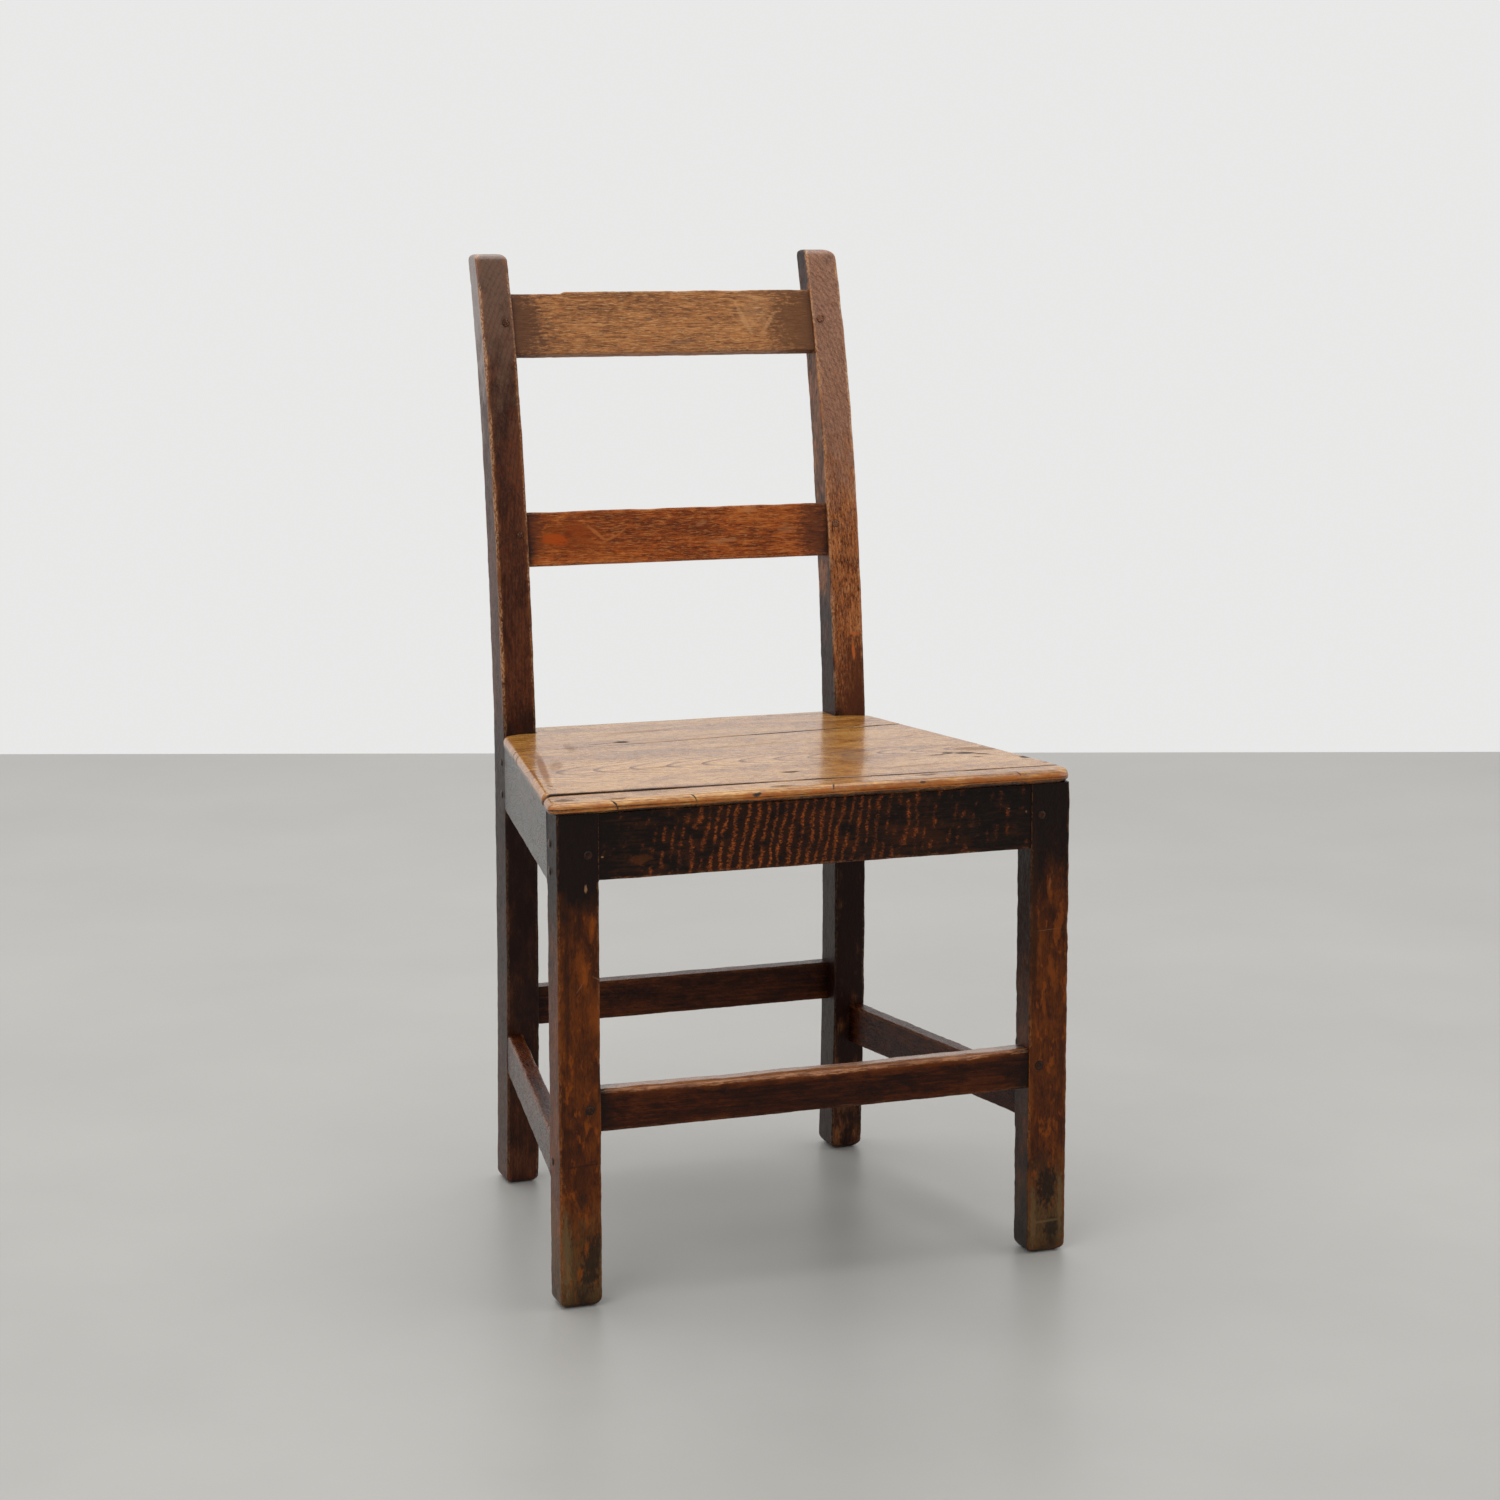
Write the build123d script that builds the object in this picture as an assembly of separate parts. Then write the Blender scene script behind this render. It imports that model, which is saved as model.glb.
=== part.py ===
from build123d import *

import math
import os

# Joined country side chair: open back with two rails, board seat, square legs, box of
# stretchers. The frame is mortised, tenoned and draw-pegged, and the seat boards are pegged
# down on its rails. Every member, every board and every set of pegs is a node of its own.
#
# All sizes are millimetres. X runs across the chair, from left to right as it is faced, Y from
# the front to the back, and Z up from the floor. The plan is worked out from the front faces
# of the front legs (Y = 0). At the end everything is moved together, so that the origin lies
# on the floor under the middle of the whole chair.

# ---- seat and plan -------------------------------------------------------------------------
SEAT_TOP = 450.0  # height of the sitting surface
FRONT_WIDTH = 483.0  # across the outer faces of the front legs
BACK_WIDTH = 375.0  # across the outer faces of the back posts
FRAME_DEPTH = 361.5  # from the legs' front faces to the posts' front faces, at the seat

# ---- front legs ----------------------------------------------------------------------------
LEG_WIDTH = 38.0
LEG_DEPTH = 31.0
LEG_ARRIS = 2.0  # rounding worn on the long edges
FOOT_WEAR = 4.5  # chamfer worn round the bottom of every foot

# ---- back posts ----------------------------------------------------------------------------
POST_HEIGHT = 911.0
POST_WIDTH = 32.5
POST_DEPTH = 37.0  # front to back, from the floor to the seat
POST_TIP_DEPTH = 27.0  # front to back at the tip
POST_ARRIS = 1.8
TIP_ROUND = 8.0  # rounding of the tip's two side edges
LEAN = 0.0984  # slope of the post just above the seat
SWEEP = 42.6  # what the curve adds to that lean at the tip
KNEE_BELOW_SEAT = 22.0  # the bend starts this far below the sitting surface
KNEE_RISE = 60.0  # and has turned into the lean this far above it
FOOT_KICK = 9.5  # how far the foot runs out behind
KICK_HEIGHT = 240.0

# ---- seat boards ---------------------------------------------------------------------------
BOARD_THICK = 12.0
NOSE_FRONT = 4.0  # overhang past the front faces of the legs
NOSE_SIDE = 2.0  # overhang past the side rails
NOSE_TOP_ROUND = 5.0
NOSE_BOTTOM_ROUND = 3.5
FRONT_CORNER_ROUND = 10.0
BACK_CORNER_ROUND = 14.0
POST_FIT = 0.3  # play between a board and a post
FRONT_JOINT_LEFT = 41.0  # joint of the front and middle boards, at the left leg
FRONT_JOINT_RIGHT = 24.0  # and at the right one: the front board tapers
BACK_JOINT_LEFT = 256.0  # joint of the middle and back boards
BACK_JOINT_RIGHT = 297.0
FRONT_GAP_LEFT = 3.0  # the front joint has opened at its left end
FRONT_GAP_RIGHT = 0.7
BACK_GAP_LEFT = 0.7
BACK_GAP_RIGHT = 1.2

# ---- seat rails ----------------------------------------------------------------------------
RAIL_THICK = 20.0  # front and side rails
BACK_RAIL_THICK = 17.0
FRONT_RAIL_BOTTOM = 379.0
SIDE_RAIL_BOTTOM = 376.0
BACK_RAIL_BOTTOM = 380.0
FRONT_SETBACK = 1.0  # front rail and front stretcher behind the leg faces
RAIL_ARRIS = 1.2

# ---- stretchers ----------------------------------------------------------------------------
FRONT_STRETCHER_THICK = 19.0
FRONT_STRETCHER_BOTTOM = 156.5
FRONT_STRETCHER_HEIGHT = 37.5
BACK_STRETCHER_THICK = 17.0
BACK_STRETCHER_BOTTOM = 156.0
BACK_STRETCHER_HEIGHT = 38.0
SIDE_STRETCHER_THICK = 15.5
SIDE_STRETCHER_BOTTOM = 114.0
SIDE_STRETCHER_HEIGHT = 38.5
TREAD_ROUND = 4.5  # the front stretcher's upper front edge, worn by feet
STRETCHER_ARRIS = 1.6

# ---- back rails ----------------------------------------------------------------------------
MIDDLE_RAIL_BOTTOM = 610.0
MIDDLE_RAIL_HEIGHT = 52.0
TOP_RAIL_BOTTOM = 813.0
TOP_RAIL_HEIGHT = 60.0
CREST_THICK = 16.0  # both back rails
CREST_SETBACK = 3.5  # both behind the front faces of the posts
CREST_ARRIS = 1.5
STEP_LENGTH = 50.0  # the top rail's upper edge is worn down at its left end
STEP_DEPTH = 2.0

# ---- mortises and tenons -------------------------------------------------------------------
TENON_THICK = 8.0  # all seat rails and back rails
STRETCHER_TENON_THICK = 7.0
CROSS_TENON_LENGTH = 22.0
CROSS_SHOULDER = 7.0  # cut from a cross member's top and bottom
SIDE_SHOULDER = 4.0  # cut from a side member's top and bottom
SIDE_RAIL_TENON_INSET = 7.0  # from the outer face of the rail to its tenon
SIDE_STRETCHER_TENON_INSET = 4.5
SIDE_TENON_FRONT = 18.0  # length into the front leg
SIDE_TENON_BACK = 17.0  # length into the back post
MORTISE_PLAY = 0.1  # all round a tenon
MORTISE_END_GAP = 1.0  # past the end of a tenon

# ---- pegs ----------------------------------------------------------------------------------
PEG_DIAMETER = 7.6
PEG_LENGTH = 24.0
PEG_PROUD = 0.8  # how far a head stands out of the wood
PEG_HEAD_ROUND = 0.7
PEG_PLAY = 0.06  # on the radius
PEG_END_GAP = 1.0
LEG_PEG_EDGE = 10.0  # inner face of a leg to its front pegs
LEG_SIDE_PEG_EDGE = 8.5  # back face of a leg to its side pegs
POST_PEG_EDGE = 8.0  # inner face of a post to its front pegs
POST_SIDE_PEG_EDGE = 11.5  # front face of a post to its side pegs
FRONT_RAIL_PEGS = (402.0, 409.5)  # heights, left and right
FRONT_STRETCHER_PEGS = (177.0, 177.5)
SIDE_RAIL_LEG_PEGS = (386.0, 410.0)  # heights, lower and upper
SIDE_RAIL_POST_PEGS = (390.0, 421.0)
SIDE_STRETCHER_PEG = 128.0
MIDDLE_RAIL_PEG = 641.0
TOP_RAIL_PEG = 843.0
SEAT_PEG_DIAMETER = 8.6
SEAT_PEG_LENGTH = 28.0
SEAT_PEG_PROUD = 0.3
SEAT_PEG_HEAD_ROUND = 0.25
FRONT_BOARD_PEGS = (-219.0, -178.0, -32.0, 108.0)  # places along the front rail
SIDE_BOARD_PEGS = (62.0, 165.0)  # places along each side rail
BACK_BOARD_PEGS = (-96.0, 96.0)  # places along the back rail

# ---- worked out from the sizes above -------------------------------------------------------
FRAME_TOP = SEAT_TOP - BOARD_THICK
LEG_INNER = FRONT_WIDTH / 2 - LEG_WIDTH
POST_INNER = BACK_WIDTH / 2 - POST_WIDTH
POST_BACK = FRAME_DEPTH + POST_DEPTH
SIDE_RUN = FRAME_DEPTH - LEG_DEPTH
SIDE_SPREAD = (FRONT_WIDTH - BACK_WIDTH) / 2
SIDE_SLOPE = SIDE_SPREAD / SIDE_RUN
FAR = 2 * (FRONT_WIDTH + POST_BACK)


def side_line(y, inset=0.0):
    """X of the left side's outer face line at depth y, moved inward by inset square to it."""
    return -FRONT_WIDTH / 2 + SIDE_SLOPE * (y - LEG_DEPTH) + inset * math.hypot(1, SIDE_SLOPE)


def set_back(z):
    """How far a post's front face lies behind the frame depth at height z."""
    if z > SEAT_TOP:
        rise = z - SEAT_TOP
        return LEAN * rise + SWEEP * (rise / (POST_HEIGHT - SEAT_TOP)) ** 3
    if z < KICK_HEIGHT:
        return FOOT_KICK * (1 - z / KICK_HEIGHT) ** 1.5
    return 0.0


def post_depth(z):
    """Front to back size of a post at height z: full up to the seat, then thinning."""
    share = max(0.0, (z - SEAT_TOP) / (POST_HEIGHT - SEAT_TOP))
    return POST_DEPTH - (POST_DEPTH - POST_TIP_DEPTH) * share**1.5


def block(x0, x1, y0, y1, z0, z1):
    """Rectangular block between the given faces."""
    size = Box(x1 - x0, y1 - y0, z1 - z0)
    return Pos((x0 + x1) / 2, (y0 + y1) / 2, (z0 + z1) / 2) * size


def biggest(shape):
    """The largest solid of a cut shape."""
    return max(shape.solids(), key=lambda piece: piece.volume)


def left_and_right(shape):
    """A left-hand piece and its mirror image."""
    return {"left": shape, "right": mirror(shape, about=Plane.YZ)}


# ---- legs and posts ------------------------------------------------------------------------
def worn_foot(upright, x, y, width, depth):
    """Chamfers the bottom of an upright whose foot is width by depth about x, y."""
    sole = Pos(x, y) * Rectangle(width - 2 * FOOT_WEAR, depth - 2 * FOOT_WEAR)
    return biggest(upright & extrude(sole, 1.1 * POST_HEIGHT, taper=-45))


def front_leg():
    """Left front leg: a square post with worn arrises and a worn foot."""
    leg = block(-FRONT_WIDTH / 2, -LEG_INNER, 0, LEG_DEPTH, 0, FRAME_TOP)
    leg = fillet(leg.edges().filter_by(Axis.Z), LEG_ARRIS)
    middle = LEG_INNER + LEG_WIDTH / 2
    return worn_foot(leg, -middle, LEG_DEPTH / 2, LEG_WIDTH, LEG_DEPTH)


def post_edge(reach):
    """Front or back edge of a post's side view; reach gives its depth at a height."""
    knee = SEAT_TOP - KNEE_BELOW_SEAT
    turned = SEAT_TOP + KNEE_RISE
    low = [(reach(z), z) for z in (KICK_HEIGHT * step / 4 for step in range(5))]
    high = [(reach(z), z) for z in (turned + (POST_HEIGHT - turned) * step / 5 for step in range(6))]
    kick_slope = reach(1) - reach(0)
    tip_slope = reach(POST_HEIGHT) - reach(POST_HEIGHT - 1)
    foot = Spline(low, tangents=[(kick_slope, 1), (0, 1)])
    shank = Line(low[-1], (reach(knee), knee))
    sweep = Spline([(reach(knee), knee)] + high, tangents=[(0, 1), (tip_slope, 1)])
    return [foot, shank, sweep]


def post_blank():
    """Left back post before its edges are worn."""
    front = post_edge(lambda z: FRAME_DEPTH + set_back(z))
    back = post_edge(lambda z: FRAME_DEPTH + set_back(z) + post_depth(z))
    foot = Line(front[0] @ 0, back[0] @ 0)
    tip = Line(front[-1] @ 1, back[-1] @ 1)
    outline = make_face(Curve() + front + back + [foot, tip])
    side = Plane(origin=(-BACK_WIDTH / 2, 0, 0), x_dir=(0, 1, 0), z_dir=(1, 0, 0))
    return extrude(side * outline, POST_WIDTH)


def is_arris(edge):
    """Whether an edge of a post is one of its long arrises, which run on over the tip."""
    across = abs(edge.tangent_at(0.5).Y) > 0.99
    level = edge.bounding_box().size.Z < 1
    return not across and (not level or edge.center().Z > POST_HEIGHT - 1)


def back_post():
    """Left back post with a rounded tip, worn arrises and a worn foot."""
    post = post_blank()
    tip = post.faces().sort_by(Axis.Z)[-1]
    post = fillet(tip.edges().filter_by(Axis.Y), TIP_ROUND)
    post = fillet([edge for edge in post.edges() if is_arris(edge)], POST_ARRIS)
    middle = POST_INNER + POST_WIDTH / 2
    y = FRAME_DEPTH + set_back(0) + POST_DEPTH / 2
    return worn_foot(post, -middle, y, POST_WIDTH, POST_DEPTH)


# ---- cross members -------------------------------------------------------------------------
def upper_front(edge):
    """How far up and forward an edge lies."""
    return edge.center().Z - edge.center().Y


def worn_bar(length, thick, height, arris, tread):
    """Bar along X, centred, its long edges rounded by arris and the upper front one by tread."""
    edges = Box(length, thick, height).edges().filter_by(Axis.X)
    kept = max(edges, key=upper_front)
    bar = fillet([edge for edge in edges if edge != kept], arris)
    return fillet(max(bar.edges().filter_by(Axis.X), key=upper_front), tread)


def cross_member(half_gap, y0, thick, z0, z1, arris, tread):
    """Member between two uprights, its front face at y0."""
    bar = worn_bar(2 * half_gap, thick, z1 - z0, arris, tread)
    return Pos(0, y0 + thick / 2, (z0 + z1) / 2) * bar


def cross_tenons(half_gap, y0, thick, z0, z1, tenon, play=0.0, end=0.0):
    """Bar that stands out of both ends of a cross member as its tenons."""
    reach = half_gap + CROSS_TENON_LENGTH + end
    front = y0 + (thick - tenon) / 2
    low, high = z0 + CROSS_SHOULDER - play, z1 - CROSS_SHOULDER + play
    return block(-reach, reach, front - play, front + tenon + play, low, high)


# ---- side members --------------------------------------------------------------------------
def along_side(bar, inset, thick, middle_z):
    """Lays a centred bar along the left side, its outer face inset from the side line."""
    y = (LEG_DEPTH + FRAME_DEPTH) / 2
    x = side_line(y, inset + thick / 2)
    turn = math.degrees(math.atan2(SIDE_RUN, SIDE_SPREAD))
    return Location((x, y, middle_z), (0, 0, turn)) * bar


def side_member(thick, z0, z1, arris):
    """Left side member, flush with the leg and the post outside, shouldered to both."""
    bar = Box(FAR, thick, z1 - z0)
    bar = fillet(bar.edges().filter_by(Axis.X), arris)
    bar = along_side(bar, 0.0, thick, (z0 + z1) / 2)
    run = block(-FAR, 0, LEG_DEPTH, POST_BACK, z0 - 1, z1 + 1)
    return biggest((bar & run) - post_blank())


def side_tenons(inset, tenon, z0, z1, play=0.0, end=0.0):
    """Bar that stands out of both ends of a left side member as its tenons."""
    bar = Box(FAR, tenon + 2 * play, z1 - z0 - 2 * SIDE_SHOULDER + 2 * play)
    bar = along_side(bar, inset - play, tenon + 2 * play, (z0 + z1) / 2)
    front = LEG_DEPTH - SIDE_TENON_FRONT - end
    back = FRAME_DEPTH + SIDE_TENON_BACK + end
    return biggest(bar & block(-FAR, 0, front, back, z0, z1))


# ---- back rails ----------------------------------------------------------------------------
def crest_height(bottom, height):
    """Height of a back rail measured along its own lean."""
    return math.hypot(height, set_back(bottom + height) - set_back(bottom))


def on_posts(shape, bottom, height):
    """Leans a centred bar with the posts and sets it back from their front faces."""
    lean = math.degrees(math.atan2(set_back(bottom + height) - set_back(bottom), height))
    middle = bottom + height / 2
    place = Location((0, FRAME_DEPTH + set_back(middle), middle), (-lean, 0, 0))
    return place * Pos(0, CREST_SETBACK + CREST_THICK / 2, 0) * shape


def crest_rail(bottom, height, step):
    """Back rail between the posts; step is how far its upper edge is worn at the left."""
    tall = crest_height(bottom, height)
    bar = worn_bar(2 * POST_INNER, CREST_THICK, tall, CREST_ARRIS, CREST_ARRIS)
    if step:
        worn = Box(2 * STEP_LENGTH, 2 * CREST_THICK, 2 * step)
        bar -= Pos(-POST_INNER, 0, tall / 2) * worn
    return on_posts(bar, bottom, height)


def crest_tenons(bottom, height, play=0.0, end=0.0):
    """Bar that stands out of both ends of a back rail as its tenons."""
    long = 2 * (POST_INNER + CROSS_TENON_LENGTH + end)
    tall = crest_height(bottom, height) - 2 * CROSS_SHOULDER + 2 * play
    return on_posts(Box(long, TENON_THICK + 2 * play, tall), bottom, height)


# ---- seat boards ---------------------------------------------------------------------------
def seat_slab():
    """The whole seat in one piece: notched for the posts, rounded at its outer edges."""
    notch_y = FRAME_DEPTH - POST_FIT
    notch_x = POST_INNER - POST_FIT
    left = [
        (side_line(-NOSE_FRONT, -NOSE_SIDE), -NOSE_FRONT),
        (side_line(notch_y, -NOSE_SIDE), notch_y),
        (-notch_x, notch_y),
        (-notch_x, POST_BACK),
    ]
    plan = make_face(Polyline(*left, *[(-x, y) for x, y in reversed(left)], close=True))
    plan = fillet(plan.vertices().sort_by(Axis.Y)[:2], FRONT_CORNER_ROUND)
    plan = fillet([v for v in plan.vertices() if abs(v.X) > POST_INNER + 1
                   and abs(v.Y - notch_y) < 0.01], BACK_CORNER_ROUND)
    slab = extrude(Pos(0, 0, FRAME_TOP) * plan, BOARD_THICK)

    def nosing(z):
        """Outer edges of the seat at height z, without those that face a post."""
        level = [e for e in slab.edges() if abs(e.center().Z - z) < 0.01]
        across = [e for e in level if abs((e @ 0.5).Y - notch_y) > 0.01]
        return [e for e in across if abs(abs((e @ 0.5).X) - notch_x) > 0.01]

    slab = fillet(nosing(SEAT_TOP), NOSE_TOP_ROUND)
    return fillet(nosing(FRAME_TOP), NOSE_BOTTOM_ROUND)


def across_seat(near, far):
    """Band between two lines across the seat, each given as its depth at the two legs."""
    half = FRONT_WIDTH / 2

    def at(line, x):
        """Depth of a line at x."""
        return (line[0] + line[1]) / 2 + (line[1] - line[0]) / 2 * x / half

    ends = [(-FAR, at(near, -FAR)), (FAR, at(near, FAR)), (FAR, at(far, FAR)), (-FAR, at(far, -FAR))]
    band = make_face(Polyline(*ends, close=True))
    return extrude(Pos(0, 0, FRAME_TOP - 1) * band, BOARD_THICK + 2)


def seat_boards():
    """Front, middle and back boards, parted at the two joints."""
    slab = seat_slab()
    bands = {
        "front": (
            (-FAR, -FAR),
            (FRONT_JOINT_LEFT - FRONT_GAP_LEFT, FRONT_JOINT_RIGHT - FRONT_GAP_RIGHT),
        ),
        "middle": (
            (FRONT_JOINT_LEFT, FRONT_JOINT_RIGHT),
            (BACK_JOINT_LEFT, BACK_JOINT_RIGHT),
        ),
        "back": (
            (BACK_JOINT_LEFT + BACK_GAP_LEFT, BACK_JOINT_RIGHT + BACK_GAP_RIGHT),
            (FAR, FAR),
        ),
    }
    return {name: biggest(slab & across_seat(*lines)) for name, lines in bands.items()}


# ---- pegs ----------------------------------------------------------------------------------
def from_front(x, z):
    """Place of a peg driven straight back into a leg."""
    return Location((x, 0, z), (-90, 0, 0))


def from_post_front(x, z):
    """Place of a peg driven into a post, square to its leaning face."""
    lean = math.degrees(math.atan(set_back(z + 0.5) - set_back(z - 0.5)))
    return Location((x, FRAME_DEPTH + set_back(z), z), (-90 - lean, 0, 0))


def from_side(face, y, z):
    """Place of a peg driven inward through the outer side face at x = face."""
    return Location((face, y, z), (0, 90 if face < 0 else -90, 0))


def from_above(x, y):
    """Place of a peg driven down through the seat."""
    return Location((x, y, SEAT_TOP), (180, 0, 0))


def pin(diameter, length, start):
    """Cylinder along Z from start."""
    bar = Cylinder(diameter / 2, length, align=(Align.CENTER, Align.CENTER, Align.MIN))
    return Pos(0, 0, start) * bar


def frame_peg():
    """Peg of the frame, its head rounded and a little proud."""
    bar = pin(PEG_DIAMETER, PEG_LENGTH, -PEG_PROUD)
    return fillet(bar.edges().sort_by(Axis.Z)[0], PEG_HEAD_ROUND)


def frame_hole():
    """Blind hole for a frame peg."""
    deep = PEG_LENGTH - PEG_PROUD + PEG_END_GAP
    return pin(PEG_DIAMETER + 2 * PEG_PLAY, deep + PEG_DIAMETER, -PEG_DIAMETER)


def seat_peg():
    """Peg of the seat, all but flush."""
    bar = pin(SEAT_PEG_DIAMETER, SEAT_PEG_LENGTH, -SEAT_PEG_PROUD)
    return fillet(bar.edges().sort_by(Axis.Z)[0], SEAT_PEG_HEAD_ROUND)


def seat_hole():
    """Hole for a seat peg, through the board and into the rail."""
    deep = SEAT_PEG_LENGTH - SEAT_PEG_PROUD + PEG_END_GAP
    return pin(SEAT_PEG_DIAMETER + 2 * PEG_PLAY, deep + PEG_DIAMETER, -PEG_DIAMETER)


# ---- the frame -----------------------------------------------------------------------------
SIGN = {"left": -1, "right": 1}
parts = {}
for side, leg in left_and_right(front_leg()).items():
    parts[f"{side}_front_leg"] = leg
for side, post in left_and_right(back_post()).items():
    parts[f"{side}_back_post"] = post

# Cross members: uprights, half gap, front face, thickness, bottom, top, arris, tread, tenon.
CROSS = {
    "front_seat_rail": (
        "front_leg", LEG_INNER, FRONT_SETBACK, RAIL_THICK,
        FRONT_RAIL_BOTTOM, FRAME_TOP, RAIL_ARRIS, RAIL_ARRIS, TENON_THICK,
    ),
    "back_seat_rail": (
        "back_post", POST_INNER, POST_BACK - BACK_RAIL_THICK, BACK_RAIL_THICK,
        BACK_RAIL_BOTTOM, FRAME_TOP, RAIL_ARRIS, RAIL_ARRIS, TENON_THICK,
    ),
    "front_stretcher": (
        "front_leg", LEG_INNER, FRONT_SETBACK, FRONT_STRETCHER_THICK,
        FRONT_STRETCHER_BOTTOM, FRONT_STRETCHER_BOTTOM + FRONT_STRETCHER_HEIGHT,
        STRETCHER_ARRIS, TREAD_ROUND, STRETCHER_TENON_THICK,
    ),
    "back_stretcher": (
        "back_post", POST_INNER, POST_BACK - BACK_STRETCHER_THICK, BACK_STRETCHER_THICK,
        BACK_STRETCHER_BOTTOM, BACK_STRETCHER_BOTTOM + BACK_STRETCHER_HEIGHT,
        STRETCHER_ARRIS, STRETCHER_ARRIS, STRETCHER_TENON_THICK,
    ),
}
for name, (upright, gap, y0, thick, z0, z1, arris, tread, tenon) in CROSS.items():
    bar = cross_member(gap, y0, thick, z0, z1, arris, tread)
    parts[name] = bar + cross_tenons(gap, y0, thick, z0, z1, tenon)
    mortises = cross_tenons(gap, y0, thick, z0, z1, tenon, MORTISE_PLAY, MORTISE_END_GAP)
    for side in SIGN:
        parts[f"{side}_{upright}"] -= mortises

# Side members: thickness, bottom, top, arris, inset of the tenon, thickness of the tenon.
SIDE = {
    "side_seat_rail": (
        RAIL_THICK, SIDE_RAIL_BOTTOM, FRAME_TOP, RAIL_ARRIS,
        SIDE_RAIL_TENON_INSET, TENON_THICK,
    ),
    "side_stretcher": (
        SIDE_STRETCHER_THICK, SIDE_STRETCHER_BOTTOM,
        SIDE_STRETCHER_BOTTOM + SIDE_STRETCHER_HEIGHT, STRETCHER_ARRIS,
        SIDE_STRETCHER_TENON_INSET, STRETCHER_TENON_THICK,
    ),
}
for name, (thick, z0, z1, arris, inset, tenon) in SIDE.items():
    member = side_member(thick, z0, z1, arris) + side_tenons(inset, tenon, z0, z1)
    mortises = side_tenons(inset, tenon, z0, z1, MORTISE_PLAY, MORTISE_END_GAP)
    cutters = left_and_right(mortises)
    for side, piece in left_and_right(member).items():
        parts[f"{side}_{name}"] = piece
        parts[f"{side}_front_leg"] -= cutters[side]
        parts[f"{side}_back_post"] -= cutters[side]

# Back rails: bottom, height and wear of the upper edge.
CREST = {
    "middle_back_rail": (MIDDLE_RAIL_BOTTOM, MIDDLE_RAIL_HEIGHT, 0.0),
    "top_back_rail": (TOP_RAIL_BOTTOM, TOP_RAIL_HEIGHT, STEP_DEPTH),
}
for name, (bottom, height, step) in CREST.items():
    parts[name] = crest_rail(bottom, height, step) + crest_tenons(bottom, height)
    mortises = crest_tenons(bottom, height, MORTISE_PLAY, MORTISE_END_GAP)
    for side in SIGN:
        parts[f"{side}_back_post"] -= mortises

for name, board in seat_boards().items():
    parts[f"{name}_seat_board"] = board

# ---- the pegs: the places of each set, and the pieces its holes run through ------------------
leg_x = LEG_INNER + LEG_PEG_EDGE
post_x = POST_INNER + POST_PEG_EDGE
leg_y = LEG_DEPTH - LEG_SIDE_PEG_EDGE
post_y = FRAME_DEPTH + POST_SIDE_PEG_EDGE
front_rail_y = FRONT_SETBACK + RAIL_THICK / 2
back_rail_y = POST_BACK - BACK_RAIL_THICK / 2
LEGS = ["left_front_leg", "right_front_leg"]
POSTS = ["left_back_post", "right_back_post"]
frame_sets = {
    "front_rail_pegs": (
        [from_front(sign * leg_x, z) for sign, z in zip(SIGN.values(), FRONT_RAIL_PEGS)],
        LEGS + ["front_seat_rail"],
    ),
    "front_stretcher_pegs": (
        [from_front(sign * leg_x, z) for sign, z in zip(SIGN.values(), FRONT_STRETCHER_PEGS)],
        LEGS + ["front_stretcher"],
    ),
    "middle_rail_pegs": (
        [from_post_front(sign * post_x, MIDDLE_RAIL_PEG) for sign in SIGN.values()],
        POSTS + ["middle_back_rail"],
    ),
    "top_rail_pegs": (
        [from_post_front(sign * post_x, TOP_RAIL_PEG) for sign in SIGN.values()],
        POSTS + ["top_back_rail"],
    ),
}
for side, sign in SIGN.items():
    leg_face, post_face = sign * FRONT_WIDTH / 2, sign * BACK_WIDTH / 2
    frame_sets[f"{side}_side_rail_pegs"] = (
        [from_side(leg_face, leg_y, z) for z in SIDE_RAIL_LEG_PEGS]
        + [from_side(post_face, post_y, z) for z in SIDE_RAIL_POST_PEGS],
        [f"{side}_front_leg", f"{side}_back_post", f"{side}_side_seat_rail"],
    )
    frame_sets[f"{side}_side_stretcher_peg"] = (
        [from_side(leg_face, leg_y, SIDE_STRETCHER_PEG)],
        [f"{side}_front_leg", f"{side}_side_stretcher"],
    )
seat_sets = {
    "front_board_pegs": (
        [from_above(x, front_rail_y) for x in FRONT_BOARD_PEGS],
        LEGS + ["front_seat_rail", "front_seat_board"],
    ),
    "middle_board_pegs": (
        [from_above(sign * -side_line(y, RAIL_THICK / 2), y) for sign in SIGN.values()
         for y in SIDE_BOARD_PEGS],
        ["left_side_seat_rail", "right_side_seat_rail", "middle_seat_board"],
    ),
    "back_board_pegs": (
        [from_above(x, back_rail_y) for x in BACK_BOARD_PEGS],
        ["back_seat_rail", "back_seat_board"],
    ),
}
for sets, make, bore in ((frame_sets, frame_peg, frame_hole), (seat_sets, seat_peg, seat_hole)):
    for name, (places, hosts) in sets.items():
        for place in places:
            for host in hosts:
                parts[host] -= place * bore()
        parts[name] = Compound([biggest(place * make()) for place in places])

# ---- origin on the floor under the middle of the chair, and one file for each node ----------
whole = Compound([solid for shape in parts.values() for solid in shape.solids()])
box = whole.bounding_box()
to_origin = Pos(-box.center().X, -box.center().Y, 0)
print("overall", box.size, "moved by", to_origin.position)
os.makedirs("parts", exist_ok=True)
for name, shape in parts.items():
    placed = to_origin * Compound(shape.solids())
    placed.label = name
    export_step(placed, f"parts/{name}.step")
print(len(parts), "nodes")
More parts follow.
